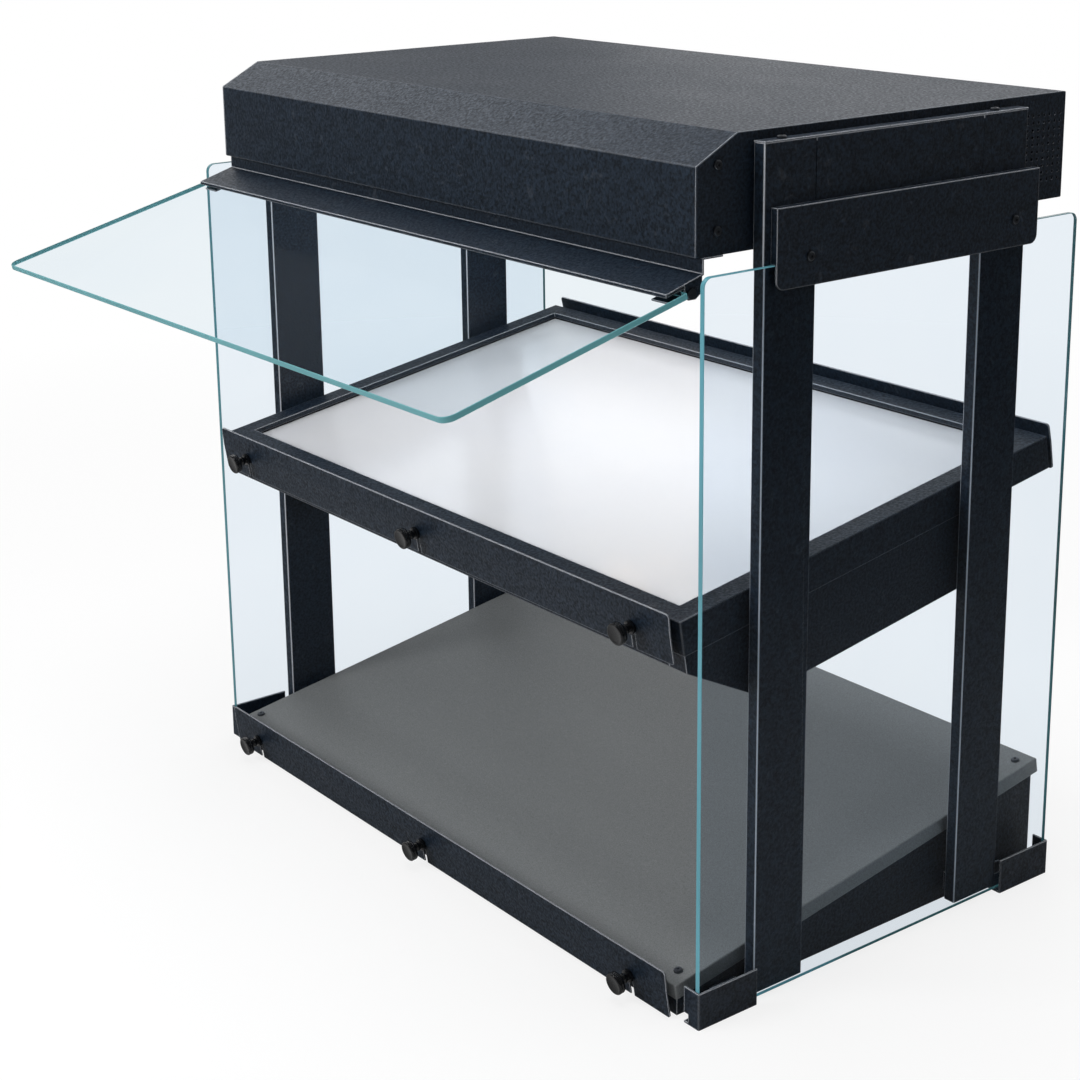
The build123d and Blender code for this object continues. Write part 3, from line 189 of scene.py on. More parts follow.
def glass_sheet(name, outline, faces, place, body, replaced, finishes):
    """A sheet with seamed edges: outline(inset) gives its points, and faces gives the two levels
    that it lies between."""
    bm = bmesh.new()
    low, high = faces
    rings = []
    for inset, level in ((arris, low), (0.0, low + arris), (0.0, high - arris), (arris, high)):
        rings.append([bm.verts.new(place @ Vector((x, y, level))) for x, y in outline(inset)])
    for first, second in zip(rings, rings[1:]):
        join_rings(bm, first, second, 1)
    bm.faces.new(rings[0]).material_index = 0
    bm.faces.new(rings[-1]).material_index = 0
    sheet = keep_piece(name, bm, finishes, body, replaced)
    sheet.visible_shadow = False
    return sheet


def frame_of(across, along, through, origin):
    """The place whose local axes are these three directions from the origin."""
    place = Matrix((across, along, through)).transposed().to_4x4()
    place.translation = origin
    return place


def circle(bm, centre, across, upright, radius):
    """A ring of points about a centre, in the plane of two directions."""
    ring = []
    for step in range(turned_sides):
        turn = 2 * math.pi * step / turned_sides
        direction = math.cos(turn) * across + math.sin(turn) * upright
        ring.append(bm.verts.new(centre + radius * direction))
    return ring


def turned(name, profile, tip, inward, finish, body, replaced):
    """A piece turned on a lathe, from its tip inward along its axis."""
    bm = bmesh.new()
    side = inward.orthogonal().normalized()
    other = inward.cross(side)
    rings = [circle(bm, tip + inward * back, side, other, radius) for back, radius in profile]
    for first, second in zip(rings, rings[1:]):
        join_rings(bm, first, second)
    bm.faces.new(rings[0])
    bm.faces.new(rings[-1])
    return keep_piece(name, bm, [finish], body, replaced)


def add_bar(bm, centre, along, across, length, width, height):
    """A thin flat bar on a face, standing out of it by its height."""
    outward = along.cross(across)
    foot = []
    for end, side in ((-0.5, -0.5), (0.5, -0.5), (0.5, 0.5), (-0.5, 0.5)):
        foot.append(centre + along * (end * length) + across * (side * width))
    low = [bm.verts.new(corner) for corner in foot]
    high = [bm.verts.new(corner + outward * height) for corner in foot]
    join_rings(bm, low, high)
    bm.faces.new(low)
    bm.faces.new(high)


def add_ring(bm, centre, across, upright, radius, width, height):
    """A thin flat ring on a face."""
    outward = upright.cross(across)
    outer = radius + width
    rings = []
    for reach, level in ((outer, 0.0), (outer, height), (radius, height), (radius, 0.0)):
        rings.append(circle(bm, centre + outward * level, across, upright, reach))
    for first, second in zip(rings, rings[1:] + rings[:1]):
        join_rings(bm, first, second)


# Shader helpers


def paint(red, green, blue):
    """A colour written in 0 to 255, as a shader wants it."""
    levels = []
    for level in (red, green, blue):
        part = level / 255
        levels.append(part / 12.92 if part <= 0.04045 else ((part + 0.055) / 1.055) ** 2.4)
    return (*levels, 1.0)


def add(tree, kind, inputs=None, **settings):
    """A shader node with its settings, its inputs given as values or as other nodes' outputs."""
    made = tree.nodes.new("ShaderNode" + kind)
    for name, value in settings.items():
        setattr(made, name, value)
    for name, value in (inputs or {}).items():
        socket = made.inputs[name]
        if isinstance(value, bpy.types.NodeSocket):
            tree.links.new(value, socket)
        else:
            socket.default_value = value
    return made


def work(tree, operation, first, second):
    """One sum on two values."""
    return add(tree, "Math", {0: first, 1: second}, operation=operation).outputs[0]


def dot(tree, first, second):
    """How far one direction goes along another."""
    return add(tree, "VectorMath", {0: first, 1: second}, operation="DOT_PRODUCT").outputs["Value"]


def between(tree, amount, first, second):
    """A colour between two, by an amount from 0 to 1."""
    made = add(tree, "Mix", {"Factor": amount}, data_type="RGBA")
    for place, value in ((6, first), (7, second)):
        if isinstance(value, bpy.types.NodeSocket):
            tree.links.new(value, made.inputs[place])
        else:
            made.inputs[place].default_value = value
    return made.outputs[2]


def spread(tree, value, low, high, to_low=0.0, to_high=1.0):
    """A value's range stretched to another range, and held inside it."""
    values = {"Value": value, "From Min": low, "From Max": high, "To Min": to_low, "To Max": to_high}
    return add(tree, "MapRange", values, clamp=True).outputs[0]


def new_finish(name, **constants):
    """A material with its Principled shader's plain values set."""
    material = bpy.data.materials.new(name)
    material.use_nodes = True
    tree = material.node_tree
    shader = tree.nodes["Principled BSDF"]
    for socket, value in constants.items():
        shader.inputs[socket.replace("_", " ")].default_value = value
    return material, tree, shader


def new_effect(name, inputs, outputs):
    """A shader node group with named sockets, and its two ends."""
    tree = bpy.data.node_groups.new(name, "ShaderNodeTree")
    for socket, value in inputs.items():
        made = tree.interface.new_socket(socket, in_out="INPUT", socket_type="NodeSocketFloat")
        made.default_value = value
    for socket, kind in outputs.items():
        tree.interface.new_socket(socket, in_out="OUTPUT", socket_type="NodeSocket" + kind)
    return tree, tree.nodes.new("NodeGroupInput"), tree.nodes.new("NodeGroupOutput")


def place_effect(tree, effect, **values):
    """An effect set into a material with its own values."""
    return add(tree, "Group", values, node_tree=effect).outputs


def object_place(tree):
    """Where a point lies on its piece."""
    return add(tree, "TexCoord").outputs["Object"]


def seen_before_any_bounce(tree, rays):
    """1 for what the camera sees plainly, through glass or in a reflection, and 0 for the light that
    a surface scatters."""
    seen = work(tree, "MAXIMUM", rays["Is Camera Ray"], rays["Is Transmission Ray"])
    seen = work(tree, "MAXIMUM", seen, rays["Is Glossy Ray"])
    scattered = work(tree, "MINIMUM", rays["Diffuse Depth"], 1.0)
    return work(tree, "MULTIPLY", seen, work(tree, "SUBTRACT", 1.0, scattered))


def seen_mirrored(tree, rays):
    """1 for what is seen in a reflection."""
    return work(tree, "MINIMUM", rays["Glossy Depth"], 1.0)


def blend(tree, amount, first, second):
    """A value between two, by an amount from 0 to 1."""
    return add(tree, "Mix", {"Factor": amount, "A": first, "B": second}).outputs[0]


# Effects that several finishes share


def make_coat_grain():
    """The fine pebbled skin of a baked powder coat: its height, and lighter and darker flecks."""
    outputs = {"Height": "Float", "Fleck": "Float"}
    tree, given, result = new_effect("coat_grain", {"Size": 420.0}, outputs)
    place = object_place(tree)
    size = given.outputs["Size"]
    pebbles = add(tree, "TexNoise", {
        "Vector": place, "Scale": size, "Detail": 2.0, "Roughness": 0.55,
    })
    finer = add(tree, "TexNoise", {
        "Vector": place, "Scale": work(tree, "MULTIPLY", size, 2.3), "Detail": 1.0,
    })
    height = work(tree, "ADD", pebbles.outputs[0], work(tree, "MULTIPLY", finer.outputs[0], 0.35))
    tree.links.new(height, result.inputs["Height"])
    tree.links.new(spread(tree, pebbles.outputs[0], 0.34, 0.68), result.inputs["Fleck"])
    return tree


def make_bent_edges():
    """Where a sheet is bent or cut: a mask along the edge for a painted highlight with some wear,
    strongest where the edge faces up or to the customer, where the light falls and hands touch most,
    the same for the rounded corners of square tube, and the normal of its small radius."""
    outputs = {"Edge": "Float", "Corner": "Float", "Normal": "Vector"}
    tree, given, result = new_effect("bent_edges", {"Radius": 0.0009}, outputs)
    rounded = add(tree, "Bevel", {"Radius": given.outputs["Radius"]}, samples=4)
    flat = add(tree, "NewGeometry").outputs["True Normal"]
    turn = dot(tree, rounded.outputs[0], flat)
    along = add(tree, "SeparateXYZ", {0: rounded.outputs[0]}).outputs
    # Edges that face up or to the customer get more of the painted highlight and wear
    lit_and_handled = work(tree, "SUBTRACT", along["Z"], work(tree, "MULTIPLY", along["Y"], 0.75))
    lit_and_handled = spread(tree, lit_and_handled, -0.1, 0.5, 0.25, 1.0)
    edge = work(tree, "MULTIPLY", spread(tree, turn, 0.995, 0.86), lit_and_handled)
    tree.links.new(edge, result.inputs["Edge"])
    sides = add(tree, "VectorMath", {0: flat}, operation="ABSOLUTE").outputs[0]
    sides = add(tree, "SeparateXYZ", {0: sides}).outputs
    square = work(tree, "MAXIMUM", work(tree, "MAXIMUM", sides["X"], sides["Y"]), sides["Z"])
    corner = work(tree, "MULTIPLY", spread(tree, square, 0.995, 0.9), lit_and_handled)
    tree.links.new(corner, result.inputs["Corner"])
    tree.links.new(rounded.outputs[0], result.inputs["Normal"])
    return tree


def make_handling_marks():
    """Broad soft changes that wiping and handling leave, and thin scuffs."""
    outputs = {"Haze": "Float", "Scuff": "Float"}
    tree, given, result = new_effect("handling_marks", {"Size": 7.0}, outputs)
    place = object_place(tree)
    size = given.outputs["Size"]
    broad = add(tree, "TexNoise", {"Vector": place, "Scale": size, "Detail": 3.0, "Roughness": 0.6})
    tree.links.new(spread(tree, broad.outputs[0], 0.35, 0.7), result.inputs["Haze"])
    thin = add(tree, "TexNoise", {
        "Vector": place, "Scale": work(tree, "MULTIPLY", size, 9.0), "Detail": 4.0, "Distortion": 1.6,
    })
    tree.links.new(spread(tree, thin.outputs[0], 0.63, 0.72), result.inputs["Scuff"])
    return tree


coat_grain = make_coat_grain()
bent_edges = make_bent_edges()
handling_marks = make_handling_marks()


# Finishes


def coated_sheet(name, dark, light, edge, size, depth, specular, edge_radius,
                 roughness=0.42, seams_above=no_seams, tube_corners=0.0):
    """Powder-coated sheet: pebbled skin, flecks, paler bent edges that are a painted highlight with
    some wear, a little handling haze. From seams_above up to seam_top, edges near the middle are
    filled joints, and don't show."""
    material, tree, shader = new_finish(name, Specular_IOR_Level=specular)
    grain = place_effect(tree, coat_grain, Size=size)
    edges = place_effect(tree, bent_edges, Radius=edge_radius)
    marks = place_effect(tree, handling_marks, Size=6.0)
    coat = between(tree, grain["Fleck"], dark, light)
    coat = between(tree, work(tree, "MULTIPLY", marks["Scuff"], 0.03), coat, edge)
    place = add(tree, "SeparateXYZ", {0: object_place(tree)}).outputs
    below = work(tree, "LESS_THAN", place["Z"], seams_above)
    outer = work(tree, "GREATER_THAN", work(tree, "ABSOLUTE", place["Y"], 0.0), seam_reach)
    top = work(tree, "GREATER_THAN", place["Z"], seam_top)
    shown = work(tree, "MAXIMUM", work(tree, "MAXIMUM", below, outer), top)
    # Pale edges and tube corners: a painted highlight, partly edge wear
    edge_highlight_and_wear = work(tree, "MULTIPLY", edges["Edge"], shown)
    corners = work(tree, "MULTIPLY", edges["Corner"], shown)
    edge_highlight_and_wear = work(tree, "MAXIMUM", edge_highlight_and_wear, work(tree, "MULTIPLY", corners, tube_corners))
    coat = between(tree, edge_highlight_and_wear, coat, edge)
    tree.links.new(coat, shader.inputs["Base Color"])
    uneven = work(tree, "ADD", work(tree, "MULTIPLY", marks["Haze"], 0.15), grain["Fleck"])
    rough = spread(tree, uneven, 0.0, 1.15, roughness + 0.14, roughness - 0.14)
    tree.links.new(rough, shader.inputs["Roughness"])
    flat = add(tree, "NewGeometry").outputs["Normal"]
    skin = add(tree, "Mix", {"Factor": shown}, data_type="VECTOR")
    tree.links.new(flat, skin.inputs[4])
    tree.links.new(edges["Normal"], skin.inputs[5])
    bump = add(tree, "Bump", {
        "Strength": 0.8, "Distance": depth, "Height": grain["Height"], "Normal": skin.outputs[1],
    })
    tree.links.new(bump.outputs[0], shader.inputs["Normal"])
    return material


def bare_metal(name, low, high, roughness, size, depth, stretch=(1.0, 1.0, 1.0)):
    """Bare or plated metal with a fine drawn grain, which can be stretched along a direction."""
    material, tree, shader = new_finish(name, Metallic=1.0)
    drawn = add(tree, "Mapping", {"Vector": object_place(tree), "Scale": stretch}).outputs[0]
    lines = add(tree, "TexNoise", {"Vector": drawn, "Scale": size, "Detail": 4.0, "Roughness": 0.65})
    marks = place_effect(tree, handling_marks, Size=20.0)
    edges = place_effect(tree, bent_edges, Radius=0.0003)
    tree.links.new(between(tree, lines.outputs[0], low, high), shader.inputs["Base Color"])
    rough = spread(tree, marks["Haze"], 0.0, 1.0, roughness - 0.05, roughness + 0.08)
    tree.links.new(rough, shader.inputs["Roughness"])
    bump = add(tree, "Bump", {
        "Strength": 0.4, "Distance": depth, "Height": lines.outputs[0], "Normal": edges["Normal"],
    })
    tree.links.new(bump.outputs[0], shader.inputs["Normal"])
    return material


def moulded(name, low, high, roughness, size, depth, specular=0.5, coat=0.0):
    """Moulded plastic, rubber or ceramic: slight mottling, a fine skin, and edges a little paler, a
    painted highlight with some wear.
    """
    material, tree, shader = new_finish(name, Specular_IOR_Level=specular, Coat_Weight=coat)
    place = object_place(tree)
    skin = add(tree, "TexNoise", {"Vector": place, "Scale": size, "Detail": 3.0, "Roughness": 0.6})
    marks = place_effect(tree, handling_marks, Size=30.0)
    edges = place_effect(tree, bent_edges, Radius=0.0004)
    body = between(tree, skin.outputs[0], low, high)
    # Edges a little paler: a painted highlight, partly wear
    body = between(tree, work(tree, "MULTIPLY", edges["Edge"], 0.3), body, high)
    tree.links.new(body, shader.inputs["Base Color"])
    rough = spread(tree, marks["Haze"], 0.0, 1.0, roughness - 0.05, roughness + 0.07)
    tree.links.new(rough, shader.inputs["Roughness"])
    bump = add(tree, "Bump", {
        "Strength": 0.35, "Distance": depth, "Height": skin.outputs[0], "Normal": edges["Normal"],
    })
    tree.links.new(bump.outputs[0], shader.inputs["Normal"])
    return material


def clear_glass(name, tint, haze_tint, roughness=0.0, transmission=1.0, index=1.5):
    """Clear sheet glass with a faint film of haze where it has been wiped."""
    material, tree, shader = new_finish(name, Transmission_Weight=transmission, IOR=index)
    marks = place_effect(tree, handling_marks, Size=4.0)
    tree.links.new(between(tree, marks["Haze"], tint, haze_tint), shader.inputs["Base Color"])
    rough = spread(tree, marks["Haze"], 0.0, 1.0, roughness, roughness + 0.004)
    tree.links.new(rough, shader.inputs["Roughness"])
    return material


def glass_edge(name, deep, bright, arris_highlight, bright_until):
    """The polished edge of a glass sheet: a painted highlight ahead of one level of Y, deep green
    behind it, a paler painted highlight along its arrises, and a faint painted glow.
    """
    # Emission_Strength gives the edge a faint painted glow
    material, tree, shader = new_finish(
        name, Roughness=0.18, Specular_IOR_Level=0.6, Coat_Weight=0.4, Emission_Strength=0.25)
    place = object_place(tree)
    drift = add(tree, "TexNoise", {"Vector": place, "Scale": 5.0, "Detail": 2.0, "Roughness": 0.5})
    level = add(tree, "SeparateXYZ", {0: place}).outputs["Y"]
    # Ahead of bright_until the edge is a painted highlight
    front = spread(tree, level, bright_until, bright_until - 0.03, 0.0, 0.75)
    chips = add(tree, "TexNoise", {"Vector": place, "Scale": 900.0, "Detail": 2.0})
    edges = place_effect(tree, bent_edges, Radius=0.0008)
    light = work(tree, "ADD", front, spread(tree, drift.outputs[0], 0.35, 0.65, 0.0, 0.25))
    colour = between(tree, light, deep, bright)
    # A paler painted highlight along the arrises
    colour = between(tree, work(tree, "MULTIPLY", edges["Edge"], 0.5), colour, arris_highlight)
    tree.links.new(colour, shader.inputs["Base Color"])
    # The edge colour also glows faintly: painted glow
    tree.links.new(colour, shader.inputs["Emission Color"])
    bump = add(tree, "Bump", {
        "Strength": 0.2, "Distance": 0.0001, "Height": chips.outputs[0], "Normal": edges["Normal"],
    })
    tree.links.new(bump.outputs[0], shader.inputs["Normal"])
    return material


def lamp_envelope(name):
    """Warm frosted lamp glass with a faint glow."""
    material, tree, shader = new_finish(
        name, Transmission_Weight=0.4, IOR=1.45, Emission_Strength=0.5)
    place = object_place(tree)
    frost = add(tree, "TexNoise", {"Vector": place, "Scale": 260.0, "Detail": 3.0})
    warm = between(tree, frost.outputs[0], paint(255, 222, 176), paint(255, 240, 214))
    tree.links.new(warm, shader.inputs["Base Color"])
    tree.links.new(warm, shader.inputs["Emission Color"])
    tree.links.new(spread(tree, frost.outputs[0], 0.3, 0.7, 0.3, 0.42), shader.inputs["Roughness"])
    return material


dark_coat = {
    "dark": paint(12, 20, 29), "light": paint(34, 46, 60),
    "size": 340.0, "depth": 0.0006, "specular": 0.5,
}
# The pale edge colours in these finishes are a painted highlight along bent and cut edges and tube
# corners, partly edge wear
bent_edge = {"edge": paint(214, 218, 225), "edge_radius": 0.0017}
powder_coat = coated_sheet("powder_coat", **dark_coat, **bent_edge)
grey_plate = coated_sheet(
    "grey_plate", dark=paint(114, 117, 118), light=paint(137, 140, 141), edge=paint(226, 229, 230),
    size=900.0, depth=0.00012, specular=0.35, edge_radius=0.0012)
post_coat = coated_sheet(
    "post_coat", **dark_coat, **bent_edge, seams_above=post_seams_above, tube_corners=0.8)
vent_coat = coated_sheet("vent_coat", **dark_coat, edge=paint(150, 155, 162), edge_radius=0.0006)

# By the slot's name in the record. The nodes of clear glass are all replaced below
slot_finishes = {
    "powder_coat": powder_coat,
    "grey_plate": grey_plate,
    "screw_steel": bare_metal(
        "screw_steel", paint(148, 150, 152), paint(186, 188, 190),
        roughness=0.32, size=500.0, depth=0.00005),
    "reflector_metal": bare_metal(
        "reflector_metal", paint(190, 192, 194), paint(214, 216, 218),
        roughness=0.2, size=120.0, depth=0.00004, stretch=(0.05, 1.0, 1.0)),
    "element_sheath": bare_metal(
        "element_sheath", paint(92, 84, 80), paint(128, 116, 108),
        roughness=0.42, size=300.0, depth=0.00008),
    "ceramic": moulded(
        "ceramic", paint(214, 208, 196), paint(232, 228, 218),
        roughness=0.45, size=200.0, depth=0.00008),
    "lamp_glass": lamp_envelope("lamp_glass"),
    "soft_rubber": moulded(
        "soft_rubber", paint(22, 23, 25), paint(34, 35, 37),
        roughness=0.72, size=400.0, depth=0.0001, specular=0.3),
    "black_knob": moulded(
        "black_knob", paint(7, 8, 10), paint(15, 16, 19),
        roughness=0.13, size=350.0, depth=0.00003, specular=0.6, coat=0.7),
    "control_plastic": moulded(
        "control_plastic", paint(20, 21, 23), paint(32, 33, 36),
        roughness=0.45, size=380.0, depth=0.00006),
    "heater_silicone": moulded(
        "heater_silicone", paint(150, 62, 40), paint(172, 76, 50),
        roughness=0.6, size=300.0, depth=0.0001, specular=0.35),
    "mineral_board": moulded(
        "mineral_board", paint(196, 190, 176), paint(218, 213, 200),
        roughness=0.85, size=160.0, depth=0.0004, specular=0.2),
    "cable_jacket": moulded(
        "cable_jacket", paint(24, 25, 28), paint(36, 37, 40),
        roughness=0.5, size=300.0, depth=0.00006),
}
printed_white = moulded(
    "printed_white", paint(206, 208, 208), paint(224, 225, 224),
    roughness=0.5, size=500.0, depth=0.00002)
blackened_screw = bare_metal(
    "blackened_screw", paint(92, 96, 102), paint(132, 137, 144),
    roughness=0.3, size=600.0, depth=0.00004)
clear_side = clear_glass("clear_side", paint(236, 243, 249), paint(233, 241, 248), index=1.18)
clear_flip = clear_glass("clear_flip", paint(236, 243, 247), paint(233, 241, 246), index=1.02)
coated_pane = clear_glass(
    "coated_pane", paint(248, 249, 252), paint(243, 245, 250), roughness=0.14, transmission=0.5)
# Three copies of one glass edge, lighter or darker by how the light falls on each sheet: the right
# sheet's is a painted highlight, the left sheet's a painted shade
side_edge = glass_edge(
    "side_edge", paint(44, 84, 86), paint(88, 148, 162), paint(140, 200, 212), bright_until=-0.05)
far_edge = glass_edge(
    "far_edge", paint(44, 80, 80), paint(62, 112, 122), paint(96, 146, 152), bright_until=-0.2)
flip_edge = glass_edge(
    "flip_edge", paint(60, 112, 116), paint(90, 146, 152), paint(140, 196, 200), bright_until=-0.2)

# Nodes whose finish isn't the plain one of their slot
special_finishes = {
    "panel_screws": blackened_screw,
    "clamp_screws": blackened_screw,
    "flip_hinge_pins": blackened_screw,
    "top_rails": post_coat,
    "front_posts": post_coat,
    "rear_post_left": post_coat,
    "rear_post_right": post_coat,
    "hood_ends": vent_coat,
}


def finish_nodes():
    """Gives every CAD node that still shows its finish, by the slot that the record names."""
    for name, node in nodes.items():
        for slot in node.material_slots:
            wanted = slot.material.name.split(".")[0]
            slot.material = special_finishes.get(name) or slot_finishes.get(wanted, clear_side)


# Pieces


def side_glass(name):
    """One side's glass, standing in its two shoes."""
    low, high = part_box(name)
    middle_y = (low.y + high.y) / 2
    place = frame_of(
        Vector((0, 1, 0)), Vector((0, 0, 1)), Vector((1, 0, 0)), Vector((0, middle_y, 0)))

    def outline(inset):
        half = (high.y - low.y) / 2
        return rounded_outline(half, low.z, high.z, side_corner, side_corner, inset)

    edge = side_edge if low.x > 0 else far_edge
    inner, outer = sorted((low.x, high.x), key=abs)
    faces = sorted((inner + math.copysign(side_relief, inner), outer))
    piece = glass_sheet(name + "_sheet", outline, faces, place, "case", [name], [clear_side, edge])


def flip_up_pane():
    """The pane at the customer's side, drawn out from its hinge."""
    half_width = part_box("flip_glass")[1].x
    hinge = Vector(joints["flip_pane_hinge"]["pos_m"])
    outward = Vector((0, -math.cos(flip_angle), -math.sin(flip_angle)))
    upward = Vector((0, -math.sin(flip_angle), math.cos(flip_angle)))
    place = frame_of(Vector((1, 0, 0)), outward, upward, hinge)

    def outline(inset):
        return rounded_outline(half_width, *flip_reach, flip_inner_corner, flip_outer_corner, inset)

    piece = glass_sheet(
        "flip_pane_sheet", outline, flip_faces, place, "flip_pane", ["flip_glass"],
        [clear_flip, flip_edge])


def shelf_glass():
    """The heated pane of the upper shelf, let into its frame."""
    half_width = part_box("shelf_pane")[1].x
    uphill = Vector((0, math.cos(shelf_slope), math.sin(shelf_slope)))
    upward = Vector((0, -math.sin(shelf_slope), math.cos(shelf_slope)))
    place = frame_of(Vector((1, 0, 0)), uphill, upward, shelf_centre)
    deep = shelf_pane_half_depth

    def outline(inset):
        return rounded_outline(half_width, -deep, deep, shelf_pane_corner, shelf_pane_corner, inset)

    piece = glass_sheet(
        "shelf_pane_sheet", outline, shelf_pane_faces, place, "case", ["shelf_pane"],
        [coated_pane, side_edge])


def thumbscrew(name):
    """One fascia's thumbscrew, turned about its joint's axis, with its head away from the fascia."""
    joint = joints[name + "_turn"]
    pivot = Vector(joint["pos_m"])
    outward = Vector(joint["axis"]).normalized()
    points = [vertex.co - pivot for vertex in nodes[name].data.vertices]
    reach = [point.dot(outward) for point in points]
    head = [far for far, point in zip(reach, points) if (point - far * outward).length > head_from]
    if sum(head) / len(head) < sum(reach) / len(reach):
        outward = -outward
        reach = [-far for far in reach]
    tip = pivot + outward * max(reach)
    length = max(reach) - min(reach)
    collar_end = thumbscrew_profile[-1][0]
    stud = ((collar_end, stud_radius), (length, stud_radius))
    piece = turned(
        name + "_turned", thumbscrew_profile + stud, tip, -outward,
        slot_finishes["black_knob"], name, [name])


def heat_marks(name):
    """The marks round a heat dial, longer towards hot, and the pointer inlaid in its grip."""
    joint = joints[name + "_turn"]
    centre = Vector(joint["pos_m"])
    outward = Vector((0, 1, 0))
    upright = Vector((0, 0, 1))
    scale = bmesh.new()
    for mark in range(dial_marks):
        share = mark / (dial_marks - 1)
        along = Matrix.Rotation(dial_sweep * share, 3, Vector(joint["axis"])) @ upright
        length = dial_mark_lengths[0] + share * (dial_mark_lengths[1] - dial_mark_lengths[0])
        middle = centre + along * (dial_mark_radius + length / 2)
        add_bar(scale, middle, along, outward.cross(along), length, mark_width, print_height)
    piece = keep_piece(name + "_marks", scale, [printed_white], "case", [])

    pointer = bmesh.new()
    near, far = pointer_reach
    middle = centre + outward * dial_front + upright * ((near + far) / 2)
    add_bar(pointer, middle, upright, outward.cross(upright), far - near, pointer_width, print_height)
    piece = keep_piece(name + "_pointer", pointer, [printed_white], name, [])


def switch_marks(name):
    """The bar for on above a rocker, and the ring for off below it."""
    centre = Vector(joints[name + "_tip"]["pos_m"])
    centre.y = joints["base_heat_dial_turn"]["pos_m"][1]
    upright = Vector((0, 0, 1))
    across = Vector((1, 0, 0))
    above = centre + upright * switch_mark_reach
    below = centre - upright * switch_mark_reach
    marks = bmesh.new()
    add_bar(marks, above, upright, across, switch_bar_length, mark_width, print_height)
    add_ring(marks, below, across, upright, switch_ring_radius, switch_ring_width, print_height)
    piece = keep_piece(name + "_marks", marks, [printed_white], "case", [])


# Stage


def surroundings():
    """White all round where it is seen plainly, and dimmer as a light and in reflections."""
    world = bpy.data.worlds.new("studio")
    bpy.context.scene.world = world
    world.use_nodes = True
    tree = world.node_tree
    background = tree.nodes["Background"]
    rays = add(tree, "LightPath").outputs
    facing = dot(tree, add(tree, "TexCoord").outputs["Generated"], far_left)
    glow = spread(tree, facing, 0.0, 0.7, *sky_in_reflections)
    shown = blend(tree, seen_mirrored(tree, rays), 1.0, glow)
    strength = blend(tree, seen_before_any_bounce(tree, rays), ambient_light, shown)
    tree.links.new(strength, background.inputs["Strength"])
    background.inputs["Color"].default_value = (1.0, 1.0, 1.0, 1.0)


def floor_paper():
    """White paper that takes the case's shadow close by, and fades to plain white further out."""
    material, tree, shader = new_finish("floor_paper", Roughness=0.9, Specular_IOR_Level=0.1)
    grain = add(tree, "TexNoise", {"Scale": 40.0, "Detail": 3.0})
    paper = between(tree, grain.outputs[0], (0.84, 0.84, 0.845, 1.0), (0.87, 0.87, 0.87, 1.0))
    tree.links.new(paper, shader.inputs["Base Color"])
    rays = add(tree, "LightPath").outputs
    place = add(tree, "NewGeometry").outputs["Position"]
    away = add(tree, "VectorMath", {0: place}, operation="LENGTH").outputs["Value"]
    far = spread(tree, away, *floor_fade, *floor_white)
    mirrored = spread(tree, dot(tree, place, near_left), *floor_span, *floor_in_reflections)
    level = blend(tree, seen_mirrored(tree, rays), 1.0, mirrored)
    white = add(tree, "Emission", {"Color": (1.0, 1.0, 1.0, 1.0), "Strength": level})
    share = work(tree, "MULTIPLY", seen_before_any_bounce(tree, rays), far)
    mixed = add(tree, "MixShader", {0: share, 1: shader.outputs[0], 2: white.outputs[0]})
    tree.links.new(mixed.outputs[0], tree.nodes["Material Output"].inputs["Surface"])
    return material


def floor_sheet():
    """The floor, a wide flat disc under the feet."""
    floor = bmesh.new()
    rings = []
    turns = [2 * math.pi * step / floor_sides for step in range(floor_sides)]
    for radius in floor_radii:
        points = [(radius * math.cos(turn), radius * math.sin(turn), 0.0) for turn in turns]
        rings.append([floor.verts.new(point) for point in points])
    floor.faces.new(rings[0])
    join_rings(floor, rings[0], rings[1])
    mesh = bpy.data.meshes.new("floor")
    floor.to_mesh(mesh)
    floor.free()
    sheet = bpy.data.objects.new("floor", mesh)
    bpy.context.scene.collection.objects.link(sheet)
    mesh.materials.append(floor_paper())


def soft_lamp(name, place, aim, width, height, power, mirrored=True, lighting=True):
    """A soft box that isn't seen itself. It lights the case, shows in reflections, or both."""
    light = bpy.data.lights.new(name, "AREA")
    light.shape = "RECTANGLE"
    light.size = width
    light.size_y = height
    light.energy = power
    lamp = bpy.data.objects.new(name, light)
    lamp.location = place
    lamp.rotation_euler = (Vector(aim) - Vector(place)).to_track_quat("-Z", "Y").to_euler()
    lamp.visible_camera = False
    lamp.visible_transmission = False
    lamp.visible_glossy = mirrored
    lamp.visible_diffuse = lighting
    bpy.context.scene.collection.objects.link(lamp)


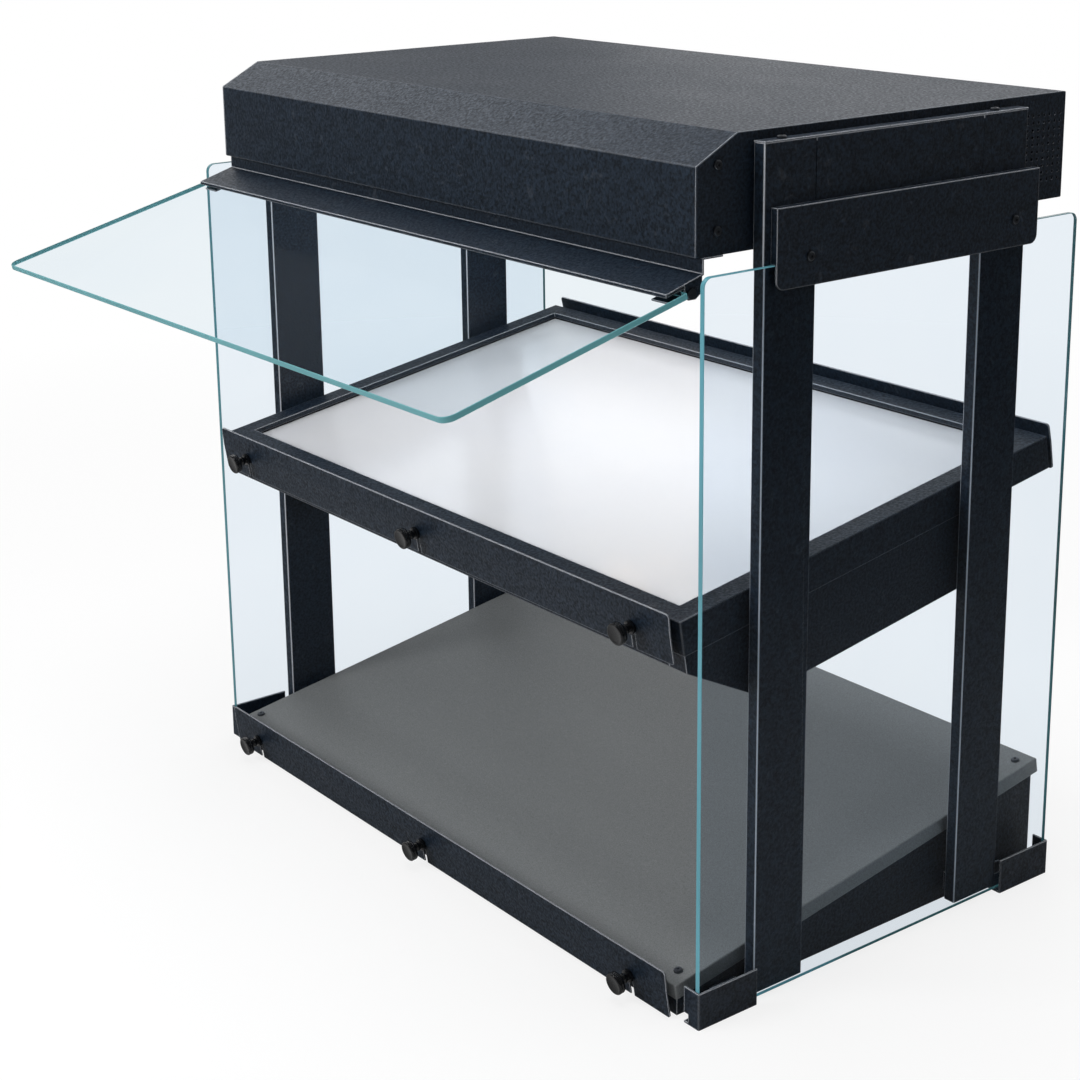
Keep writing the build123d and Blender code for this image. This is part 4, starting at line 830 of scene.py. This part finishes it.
def lamps():
    """The room's light from the front, above and behind, three boxes that show only as a sheen on
    the knobs, the hood's top and its slope, and the glow under the hood."""
    soft_lamp(
        "front_box", place=(-0.9, -2.8, 1.8), aim=(0, 0, 0.4),
        width=1.6, height=1.6, power=58.0, mirrored=False)
    soft_lamp(
        "knob_box", place=(-0.9, -2.6, 1.7), aim=(0, 0, 0.4),
        width=0.5, height=0.5, power=4.0, lighting=False)
    soft_lamp(
        "top_box", place=(0.2, 0.0, 2.8), aim=(0, 0, 0.5),
        width=1.8, height=1.4, power=52.0, mirrored=False)
    soft_lamp(
        "rear_box", place=(-2.2, 2.5, 1.5), aim=(0.1, 0, 0.7),
        width=2.2, height=1.6, power=24.0, mirrored=False)
    soft_lamp(
        "sheen_box", place=(-1.7, 2.5, 1.5), aim=(0.15, 0, 0.84),
        width=1.7, height=0.8, power=3.0, lighting=False)
    soft_lamp(
        "slope_box", place=(-2.1, -0.1, 2.2), aim=(0.0, -0.2, 0.8),
        width=1.8, height=1.5, power=6.0, lighting=False)
    soft_lamp(
        "hood_glow", place=(0.0, 0.0, 0.733), aim=(0.0, 0.0, 0.4),
        width=0.76, height=0.42, power=2.1, mirrored=False)


def make_camera():
    """The camera at the photograph's place, with its tilt and shift."""
    data = bpy.data.cameras.new("camera")
    data.lens = camera_lens
    data.sensor_width = camera_sensor
    data.shift_y = camera_shift
    camera = bpy.data.objects.new("camera", data)
    bpy.context.scene.collection.objects.link(camera)
    forward = Vector((
        -math.sin(camera_yaw) * math.cos(camera_pitch),
        math.cos(camera_yaw) * math.cos(camera_pitch),
        -math.sin(camera_pitch),
    ))
    level = Vector((math.cos(camera_yaw), math.sin(camera_yaw), 0.0))
    upright = level.cross(forward)
    right = level * math.cos(camera_roll) + upright * math.sin(camera_roll)
    above = upright * math.cos(camera_roll) - level * math.sin(camera_roll)
    camera.matrix_world = frame_of(right, above, -forward, camera_place)
    bpy.context.scene.camera = camera
    bpy.context.scene.view_settings.view_transform = "Standard"


make_camera()
surroundings()
floor_sheet()
lamps()

finish_nodes()
side_glass("side_glass_left")
side_glass("side_glass_right")
flip_up_pane()
shelf_glass()
for fascia in ("shelf_front", "shelf_rear", "base_front"):
    for position in ("left", "middle", "right"):
        thumbscrew(fascia + "_thumbscrew_" + position)
for dial in ("base_heat_dial", "hood_heat_dial"):
    heat_marks(dial)
for rocker in ("power_rocker", "lamp_rocker"):
    switch_marks(rocker)
